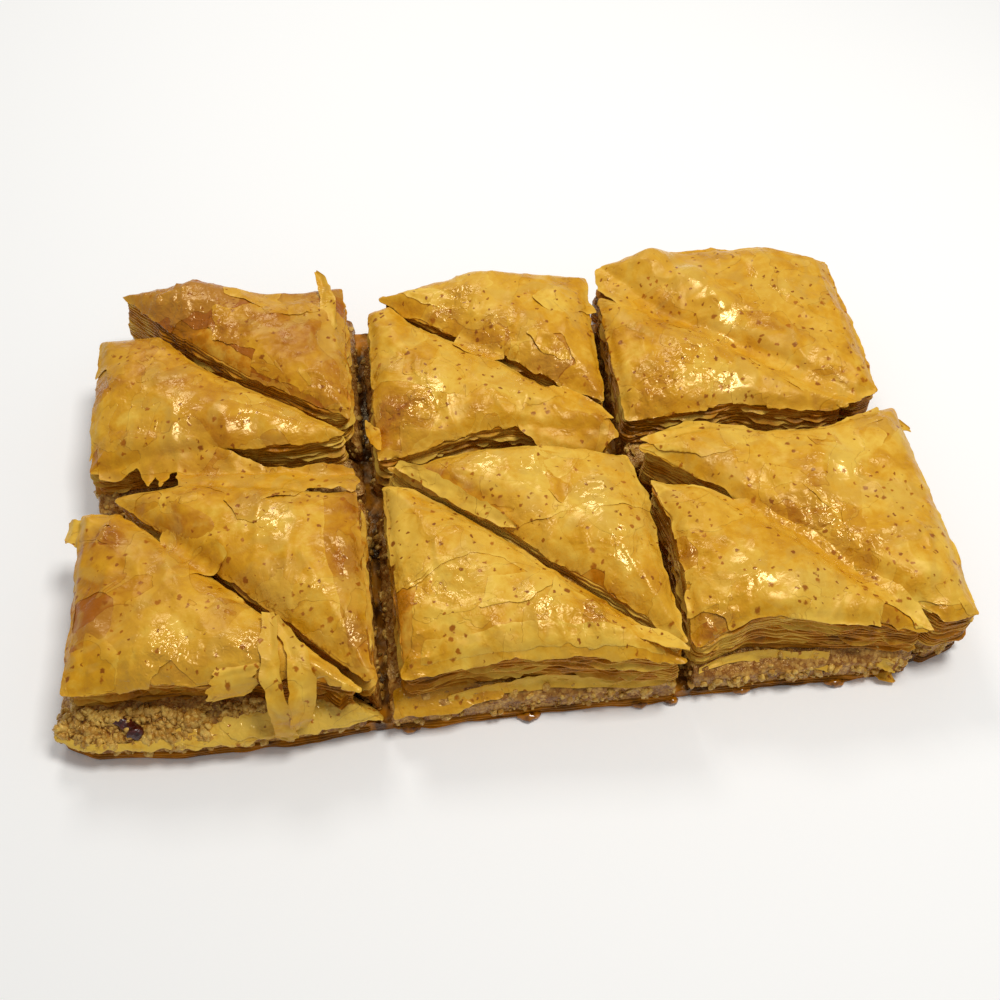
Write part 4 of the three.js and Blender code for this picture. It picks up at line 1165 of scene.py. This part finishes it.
def build_filling(name):
    """The ground nut filling of one triangle."""
    piece, seed = PIECES[name], piece_seed(name)
    wall, normal, _ = walled_outline(piece["foot"], 0.75)
    inner = nearest_on(piece["outline"], wall)
    levels = [(z, 0.0) for z in np.arange(FILLING_BOTTOM, SHELF_Z + 0.01, 0.69)]
    levels += [(SHELF_Z + (FILLING_TOP - SHELF_Z) * t, 0.85 * t) for t in np.linspace(0.1, 1, 9)]
    rings = []
    for k, (z, lean) in enumerate(levels):
        base = wall + (inner - wall) * lean
        bx, by = base.T
        lump = 0.5 * noise(bx, by, 2.8, seed, z) + 0.35 * noise(bx, by, 1.3, seed + 1, z)
        middle = 0 < k < len(levels) - 1
        push = lump - 0.45 if middle else np.full(len(base), -0.5)
        rise = 0.7 * noise(bx, by, 2.4, seed + 2, z) * (lean > 0) if middle else 0
        rise = rise + 2.6 * lean * bumps(NUT_MOUNDS, bx, by)
        rings.append(np.column_stack([base + normal * push[:, None], np.broadcast_to(z + rise, len(base))]))
    return lofted(rings)


def build_base(name):
    """The soaked bottom leaves of one triangle."""
    seed = piece_seed(name) + 3
    outline, normal, wave = walled_outline(PIECES[name]["foot"], 1.0)
    count = len(outline)
    near_side = outline[:, 1] < 5
    drips = (0.8, 0.5, 0.2)  # how far syrup carries each ply out at the near side, from the bottom up
    rings, soak = [], []
    for k, most in enumerate(drips):
        drip = np.clip(wave(5.5, seed + 4, k * 0.3), 0, 1) * near_side * most
        for part, push in ((0.0, -0.5), (0.25, -0.1), (0.65, -0.05), (0.85, -0.5)):
            z = (k + part) * BASE_TOP / len(drips)
            rise = 0.16 * wave(7, seed, k * 0.3) if k else 0
            out = push + drip + 0.25 * wave(5, seed + 1, k * 1.1)
            rings.append(np.column_stack([outline + normal * out[:, None], np.broadcast_to(z + rise, count)]))
            # Painted shade: the rings set back into the grooves are darker.
            soak.append(np.clip(0.66 + 0.2 * wave(9, seed + 2, k * 0.7) - 0.4 * push, 0, 1))
    rings.append(np.column_stack([outline - 0.6 * normal, np.full(count, BASE_TOP)]))
    soak.append(np.full(count, 0.8))
    points, faces = lofted(rings)
    return points, faces, np.concatenate([*soak, [0.8, 0.8]])


def build_bed():
    """The soaked scraps at the bottom of the cuts."""
    corners = np.array(BED_OUTLINE, float)
    low, high = corners.min(0) - BED_STEP, corners.max(0) + BED_STEP
    points, faces = grid_triangles(low[0], high[0], low[1], high[1], BED_STEP, 70)
    points, faces = trimmed(points, faces, polygon_distance(BED_OUTLINE, *points.T))
    x, y = points.T
    z = BED_TOP + 1.3 * noise(x, y, 4.2, 72) + 0.8 * ridges(x, y, 2.6, 73)
    lowest, highest, underside = 0.6, 5.6, 0.05
    top = np.column_stack([x, y, np.clip(z, lowest, highest)])
    return closed_sheet(top, top * [1, 1, 0] + [0, 0, underside], faces)


def torn_bite(x, y, radius, seed):
    """A jagged polygon about a point."""
    corners = 7
    angle = np.linspace(0, 2 * math.pi, corners, endpoint=False) + 0.7 * seed
    reach = radius * (1 + 0.45 * lattice(np.arange(corners), 3, 5, seed))
    return np.stack([x + reach * np.cos(angle), y + reach * np.sin(angle)], 1)


def pieces_under(leaf):
    """The pieces that a leaf on top lies over: those it names, or the one that its own name begins with."""
    if "ledge" in leaf:
        return []
    return leaf.get("over") or [name for name in PIECES if leaf["name"].startswith(name)]


def build_leaf(leaf, number):
    """One torn leaf, on the stack or on a ledge of the lower layers."""
    seed = LEAF_SEED + 3 * number
    over = pieces_under(leaf)
    polygons = [leaf["outline"]] if "outline" in leaf else [PIECES[name]["outline"] for name in over]
    bites = [torn_bite(*bite, seed + i) for i, bite in enumerate(leaf.get("bites", []))]
    holes = leaf.get("holes", []) + bites
    reach = leaf.get("reach", 0.0)
    corners = np.concatenate([np.asarray(p, float) for p in polygons])
    low, high = corners.min(0) - reach - 2, corners.max(0) + reach + 2
    points, faces = grid_triangles(low[0], high[0], low[1], high[1], LEAF_STEP, seed)

    def level(x, y):
        tear = 0.65 * noise(x, y, 5, seed) + 0.4 * noise(x, y, 2.1, seed + 1)
        tear = tear + 0.15 * noise(x, y, 1.1, seed + 2)
        inside = np.max([polygon_distance(p, x, y) for p in polygons], axis=0) + reach + tear
        for hole in holes:
            inside = np.minimum(inside, -polygon_distance(hole, x, y) + tear)
        if leaf.get("kept_inside"):  # by its one piece
            inside = np.minimum(inside, polygon_distance(PIECES[over[0]]["outline"], x, y) + 0.3)
        return np.minimum(inside, FAR_LIMIT - y)

    points, faces = trimmed(points, faces, level(*points.T))
    x, y = points.T
    edge = np.clip(level(x, y), 0, None)
    settled = np.clip(edge / 1.8 + 0.2 + 1.5 * noise(x, y, 9, seed + 7), 0, 1)
    lift = leaf.get("lift", UNDER_LIFT if leaf["name"].endswith("_leaf_1") else UPPER_LIFT)
    # A leaf clings to the one below along its torn edge.
    lift = UNDER_LIFT + (lift - UNDER_LIFT) * np.maximum(settled, 0.3)
    curl = lift * np.clip(2.2 * noise(x, y, 7, seed + 3) - 0.3, 0, 2) * np.exp(-edge / 1.3)
    blister = 0.8 * lift * np.clip(noise(x, y, 8, 61), 0, 1)
    ground = drape_height(over, x, y, leaf.get("sag", SAG)) if over else ledge_height(leaf["ledge"], x, y)
    z = under_limit(ground + lift + blister + curl)
    top = np.column_stack([x, y, z])
    shell, shell_faces = closed_sheet(top, top - np.array([0, 0, LEAF_THICK]), faces)
    wet = bumps(WET_PATCHES, x, y) if over else 0.7 + 0 * x
    glaze_and_highlight = bumps(GLAZE_AND_HIGHLIGHT_PLACES, x, y)
    soak = leaf["soak"] + 0.15 * noise(x, y, 12, seed + 5) - 0.12 * np.exp(-edge / 0.6)
    if over:
        # Wet patches are darker, and the glossy places are painted paler, as a highlight.
        soak = soak + 0.2 * wet - 0.2 * glaze_and_highlight
        # The first column and the far row are darker: partly more syrup, partly painted shade.
        soak = soak + LEFT_SOAK_AND_SHADE * (x < LEFT_COLUMN_END) + FAR_SOAK_AND_SHADE * (y > FAR_ROW_START)
        # Darker or paler parts of the leaves, some of them painted shade.
        soak = soak + soft_spots(LEAF_TONES_AND_SHADE, x, y)
    soak = np.clip(np.concatenate([soak, soak + 0.15]), 0, 1)
    return shell, shell_faces, {"soak": soak, "wet": np.tile(wet, 2), "glaze_and_highlight": np.tile(glaze_and_highlight, 2)}


def leaf_scraps():
    """Small torn leaves that stuck here and there on top of the stacks."""
    draw = np.random.default_rng(SCRAP_SEED)
    scraps = []
    for name, piece in PIECES.items():
        corners = np.array(piece["outline"])
        count = 0
        while count < SCRAPS_PER_PIECE:
            x, y = draw.uniform(corners.min(0), corners.max(0))
            if polygon_distance(piece["outline"], np.array([x]), np.array([y]))[0] < SCRAP_CLEARANCE:
                continue
            count += 1
            turn, length, width = draw.uniform(0, math.pi), draw.uniform(6, 12), draw.uniform(3, 6)
            angle = np.linspace(0, 2 * math.pi, SCRAP_CORNERS, endpoint=False)
            reach = draw.uniform(0.6, 1.2, SCRAP_CORNERS)
            along, across = length * reach * np.cos(angle), width * reach * np.sin(angle)
            outline = np.column_stack([x + along * math.cos(turn) - across * math.sin(turn),
                                       y + along * math.sin(turn) + across * math.cos(turn)])
            scraps.append({"name": f"{name}_scrap_{count}", "lift": SCRAP_LIFT, "kept_inside": True,
                           "soak": draw.uniform(0.16, 0.5), "outline": outline.tolist()})
    return scraps


def crumb_tree(material):
    """Geometry Nodes: crumbs scattered over a surface, more where its share attribute is higher."""
    tree = bpy.data.node_groups.new("nut_crumbs", "GeometryNodeTree")
    sockets = {}
    for name, kind, way in (("Geometry", "Geometry", "INPUT"), ("Density", "Float", "INPUT"),
                            ("Size", "Float", "INPUT"), ("Geometry", "Geometry", "OUTPUT")):
        socket = tree.interface.new_socket(name, in_out=way, socket_type=f"NodeSocket{kind}")
        sockets[name, way] = socket.identifier
    enter = add_node(tree, "NodeGroupInput")
    share = add_node(tree, "GeometryNodeInputNamedAttribute", {"data_type": "FLOAT"}, {"Name": "share"})
    density = maths(tree, "MULTIPLY", share.outputs["Attribute"], enter.outputs["Density"])
    spread = add_node(tree, "GeometryNodeDistributePointsOnFaces", links={
        "Mesh": enter.outputs["Geometry"], "Density": density, "Seed": 5})

    # One crumb: a ball of radius 1 pushed out of shape.
    ball = add_node(tree, "GeometryNodeMeshIcoSphere", links={"Radius": 1.0, "Subdivisions": 2})
    here = add_node(tree, "GeometryNodeInputPosition").outputs[0]
    lumps = add_node(tree, "ShaderNodeTexNoise", links={"Vector": here, "Scale": 1.1}).outputs["Fac"]
    swell = remap(tree, lumps, (0.0, 1.0), (0.3, 1.5))
    moved = scaled(tree, here, swell)
    crumb = add_node(tree, "GeometryNodeSetPosition", links={
        "Geometry": ball.outputs["Mesh"], "Position": moved})

    # Its copies, each turned and scaled on its own, and larger in clumps.
    full_turn = 6.28
    chances = (((0.0,) * 3, (full_turn,) * 3, 7), ((0.4, 0.4, 0.3), (1.1, 0.9, 0.7), 9))
    turn, scale = (
        add_node(tree, "FunctionNodeRandomValue", {"data_type": "FLOAT_VECTOR"},
                 {0: least, 1: most, "Seed": seed}).outputs[0]
        for least, most, seed in chances)
    clumps = add_node(tree, "ShaderNodeTexNoise", links={"Vector": here, "Scale": per_mm(3)}).outputs["Fac"]
    reach = maths(tree, "MULTIPLY", remap(tree, clumps, (0.4, 0.66), (0.65, 2.0)), enter.outputs["Size"])
    copies = add_node(tree, "GeometryNodeInstanceOnPoints", links={
        "Points": spread.outputs["Points"], "Instance": crumb.outputs[0], "Rotation": turn,
        "Scale": scaled(tree, scale, reach)})
    real = add_node(tree, "GeometryNodeRealizeInstances", links={"Geometry": copies.outputs[0]})
    painted = add_node(tree, "GeometryNodeSetMaterial", links={
        "Geometry": real.outputs[0], "Material": material})
    add_node(tree, "NodeGroupOutput", links={"Geometry": painted.outputs[0]})
    return tree, sockets


# ----------------------------------------------------------------------
# Settings
# ----------------------------------------------------------------------

def colour_property(name, description, hex_colour):
    """A colour that the sidebar shows."""
    return bpy.props.FloatVectorProperty(name=name, description=description, subtype="COLOR", size=3, min=0.0,
                                         max=1.0, default=linear(hex_colour)[:3])


class BaklavaSettings(bpy.types.PropertyGroup):
    """Colours, amounts and the stage, as the sidebar shows them"""
    pale_leaf: colour_property("Pale leaf", "Phyllo that took up no syrup", "#e8bc48")
    golden_leaf: colour_property("Golden leaf", "Phyllo with some butter and syrup", "#d5991a")
    brown_leaf: colour_property("Brown leaf", "Phyllo where the syrup soaked through", "#a25800")
    cut_leaf: colour_property("Cut leaf", "Wet phyllo in the cut walls", "#c47a0a")
    caramel: colour_property("Caramel", "Syrup that pooled between leaves", "#4a2500")
    pale_nut: colour_property("Pale nut", "Inside of the ground nuts", "#dfad55")
    brown_nut: colour_property("Brown nut", "Skins of the ground nuts", "#a06016")
    date: colour_property("Date", "Dried fruit in the filling", "#5a180a")
    paper: colour_property("Paper", "Sheet that the slab lies on", "#ffffff")
    freckles: bpy.props.FloatProperty(
        name="Freckles", description="Share of places where the oven left a brown blister", default=0.34,
        min=0.0, max=1.0, subtype="FACTOR")
    gloss: bpy.props.FloatProperty(
        name="Gloss", description="Shine of the syrup on the top leaves", default=0.8, min=0.0, max=1.0,
        subtype="FACTOR")
    crumb_density: bpy.props.FloatProperty(
        name="Crumb density", description="Nut crumbs per square metre of bare filling", default=480000.0,
        min=0.0)
    crumb_size: bpy.props.FloatProperty(
        name="Crumb size", description="Radius of the largest nut crumbs", default=0.0012, min=0.0,
        unit="LENGTH", precision=5)
    lens: bpy.props.FloatProperty(
        name="Lens", description="Focal length of the camera", default=40.85, min=10.0, max=200.0,
        unit="CAMERA")
    light_power: bpy.props.FloatProperty(
        name="Light power", description="Power of the soft light above the slab", default=2.7, min=0.0,
        unit="POWER")


# ----------------------------------------------------------------------
# Operators
# ----------------------------------------------------------------------

class BAKLAVA_OT_bases(bpy.types.Operator):
    """Builds the soaked bottom leaves of every triangle"""
    bl_idname = "baklava.bases"
    bl_label = "Soaked bases"

    def execute(self, context):
        settings = context.scene.baklava
        stops = [(0.0, settings.pale_leaf), (0.45, settings.cut_leaf), (1.0, settings.caramel)]
        material = phyllo_material("phyllo_soaked", stops, crinkle=0.6, roughness=0.36, gloss_level=0.5)
        for name in PIECES:
            points, faces, soak = build_base(name)
            piece = new_piece(f"{name}_bottom", points, faces, material, {"soak": soak})
            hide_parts(f"{name}_base")
        return {"FINISHED"}


class BAKLAVA_OT_fillings(bpy.types.Operator):
    """Builds the nut filling of every triangle and scatters crumbs on its bare sides"""
    bl_idname = "baklava.fillings"
    bl_label = "Nut fillings"

    def execute(self, context):
        settings = context.scene.baklava
        material = nut_material("ground_nuts", settings.brown_nut, settings.pale_nut, damp_and_shade_share=0.55)
        parts = []
        for name in PIECES:
            points, faces = build_filling(name)
            parts.append((points, faces))
            piece = new_piece(f"{name}_nuts", points, faces, material)
            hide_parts(f"{name}_filling")

        # The crumbs' ground is the sides of all fillings, without the fans that close them.
        starts = np.cumsum([0] + [len(points) for points, _ in parts])
        points = np.concatenate([points for points, _ in parts])
        faces = [tuple(i + start for i in face)
                 for (_, part), start in zip(parts, starts) for face in part if len(face) == 4]
        x, y, z = points.T
        share = COMMON_CRUMBS * (y < CRUMBS_FAR_END)
        for least_x, most_x, most_y, least_z, most_z, here in CRUMB_PLACES:
            inside = (x >= least_x) & (x < most_x) & (y < most_y) & (z > least_z) & (z < most_z)
            share = np.where(inside, here, share)
        ground = new_object("crumb_ground", new_mesh("crumb_ground", points, faces, {"share": share}))
        tree, sockets = crumb_tree(nut_material("nut_crumbs", CRUMB_BROWN, CRUMB_PALE, damp_and_shade_share=0.35))
        scatter = ground.modifiers.new("crumbs", "NODES")
        scatter.node_group = tree
        scatter[sockets["Density", "INPUT"]] = settings.crumb_density
        scatter[sockets["Size", "INPUT"]] = settings.crumb_size
        graph = context.evaluated_depsgraph_get()
        crumbs = bpy.data.meshes.new_from_object(ground.evaluated_get(graph), depsgraph=graph)
        crumbs.name = "nut_crumbs"
        bpy.data.objects.remove(ground)
        crumbs.polygons.foreach_set("use_smooth", np.ones(len(crumbs.polygons), bool))
        mount_piece("nut_crumbs", crumbs)
        return {"FINISHED"}


class BAKLAVA_OT_crusts(bpy.types.Operator):
    """Builds the puffed stack of phyllo of every triangle, with its cut walls and their torn leaves"""
    bl_idname = "baklava.crusts"
    bl_label = "Crusts"

    def execute(self, context):
        settings = context.scene.baklava
        stops = [(0.0, settings.pale_leaf), (0.42, settings.cut_leaf), (1.0, settings.caramel)]
        material = phyllo_material("phyllo_cut_edges", stops, crinkle=0.8, roughness=0.34, gloss_level=0.6)
        for name in PIECES:
            points, faces, soak = build_crust(name)
            piece = new_piece(f"{name}_stack", points, faces, material, {"soak": soak},
                              smooth_angle=40.0)
            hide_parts(f"{name}_crust")
            points, faces, soak = build_fringe(name)
            new_piece(f"{name}_fringe", points, faces, material, {"soak": soak})
        return {"FINISHED"}


class BAKLAVA_OT_leaves(bpy.types.Operator):
    """Lays the torn top leaves on the stacks, across the cuts and on the ledges, and hangs the strips"""
    bl_idname = "baklava.leaves"
    bl_label = "Leaves"

    def execute(self, context):
        settings = context.scene.baklava
        stops = [(0.0, settings.pale_leaf), (0.34, settings.golden_leaf), (0.9, settings.brown_leaf)]
        material = phyllo_material("phyllo_baked_leaf", stops, crinkle=0.6, roughness=0.36,
                                   gloss_level=settings.gloss, freckles=settings.freckles, overlaps=1.0)
        for number, leaf in enumerate(LEAVES + LEDGE_LEAVES + leaf_scraps()):
            points, faces, layers = build_leaf(leaf, number)
            new_piece(leaf["name"], points, faces, material, layers)
        for number, item in enumerate(RIBBONS):
            points, faces = torn_ribbon(item["line"], item["side"], LEAF_THICK, RIBBON_SEED + 5 * number)
            new_piece(item["name"], points, faces, material, {"soak": item["soak"]})
        return {"FINISHED"}


class BAKLAVA_OT_sticky_bits(bpy.types.Operator):
    """Adds the piece of date, the syrupy scraps in the cuts and the syrup that ran out at the foot"""
    bl_idname = "baklava.sticky_bits"
    bl_label = "Date and syrup"

    def execute(self, context):
        settings = context.scene.baklava
        date = sticky_material("date_flesh", DATE_DARK, settings.date, wrinkle=0.9, roughness=0.25)
        points, faces = sticky_lump(DATE_LINE, DATE_SEED)
        new_piece("date_piece", points, faces, date, smooth_angle=80.0)
        syrup = sticky_material("sugar_syrup", settings.caramel, settings.cut_leaf, wrinkle=0.2,
                                roughness=0.12)
        points, faces = build_bed()
        stops = [(0.0, settings.golden_leaf), (0.4, settings.cut_leaf), (0.9, settings.caramel)]
        wet = phyllo_material("phyllo_scraps", stops, crinkle=1.0, roughness=0.34, gloss_level=0.6)
        soak = 0.72 + 0.4 * noise(*points[:, :2].T, 3, 71)
        new_piece("scraps_in_cuts", points, faces, wet, {"soak": soak})
        for number, line in enumerate(SYRUP_LINES):
            points, faces = sticky_lump(line, DROP_SEED + number)
            new_piece(f"syrup_drop_{number + 1}", points, faces, syrup, smooth_angle=80.0)
        return {"FINISHED"}


class BAKLAVA_OT_stage(bpy.types.Operator):
    """Lays the floor and sets the camera and the soft lights"""
    bl_idname = "baklava.stage"
    bl_label = "Stage"

    def execute(self, context):
        scene = context.scene
        settings = scene.baklava
        mesh = bpy.data.meshes.new("floor")
        signs = ((-1, -1), (1, -1), (1, 1), (-1, 1))
        corners = [(x * FLOOR_SIDE, y * FLOOR_SIDE, -FLOOR_DROP) for x, y in signs]
        mesh.from_pydata(corners, [], [(0, 1, 2, 3)])
        mesh.materials.append(floor_material("white_paper", settings.paper))
        floor = new_object("floor", mesh)

        world = bpy.data.worlds.new("soft_room")
        world.use_nodes = True
        background = world.node_tree.nodes["Background"]
        background.inputs["Color"].default_value = linear(WHITE)
        background.inputs["Strength"].default_value = ROOM_LIGHT
        scene.world = world
        for name, where, size, share in LAMPS:
            light = bpy.data.lights.new(name, "AREA")
            light.energy = settings.light_power * share
            light.size = size
            light.color = linear(LAMP_LIGHT)[:3]
            lamp = new_object(name, light)
            lamp.location = where
            lamp.rotation_euler = (-Vector(where)).to_track_quat("-Z", "Y").to_euler()

        camera = bpy.data.cameras.new("camera")
        camera.lens = settings.lens
        camera.sensor_width = SENSOR_WIDTH
        eye = new_object("camera", camera)
        spot = (Vector(CAMERA_PLACE) + Vector(NEAR_LEFT_CORNER)) * MM
        turn = Matrix((CAMERA_RIGHT, CAMERA_UP, CAMERA_BACK)).transposed().to_4x4()
        eye.matrix_world = Matrix.Translation(spot) @ turn
        scene.camera = eye
        scene.view_settings.view_transform = "Standard"
        return {"FINISHED"}


class BAKLAVA_PT_panel(bpy.types.Panel):
    """The sidebar's settings and one button for each group of pieces"""
    bl_label = "Baklava slab"
    bl_idname = "BAKLAVA_PT_panel"
    bl_space_type = "VIEW_3D"
    bl_region_type = "UI"
    bl_category = "Baklava"

    def draw(self, context):
        for key in BaklavaSettings.__annotations__:
            self.layout.prop(context.scene.baklava, key)
        for operator in OPERATORS:
            self.layout.operator(operator.bl_idname)


OPERATORS = [BAKLAVA_OT_bases, BAKLAVA_OT_fillings, BAKLAVA_OT_crusts, BAKLAVA_OT_leaves,
             BAKLAVA_OT_sticky_bits, BAKLAVA_OT_stage]
CLASSES = [BaklavaSettings, *OPERATORS, BAKLAVA_PT_panel]


def register():
    for cls in CLASSES:
        bpy.utils.register_class(cls)
    bpy.types.Scene.baklava = bpy.props.PointerProperty(type=BaklavaSettings)


def unregister():
    del bpy.types.Scene.baklava
    for cls in reversed(CLASSES):
        bpy.utils.unregister_class(cls)


def main():
    register()
    bpy.ops.baklava.bases()
    bpy.ops.baklava.fillings()
    bpy.ops.baklava.crusts()
    bpy.ops.baklava.leaves()
    bpy.ops.baklava.sticky_bits()
    bpy.ops.baklava.stage()


if __name__ == "__main__":
    main()
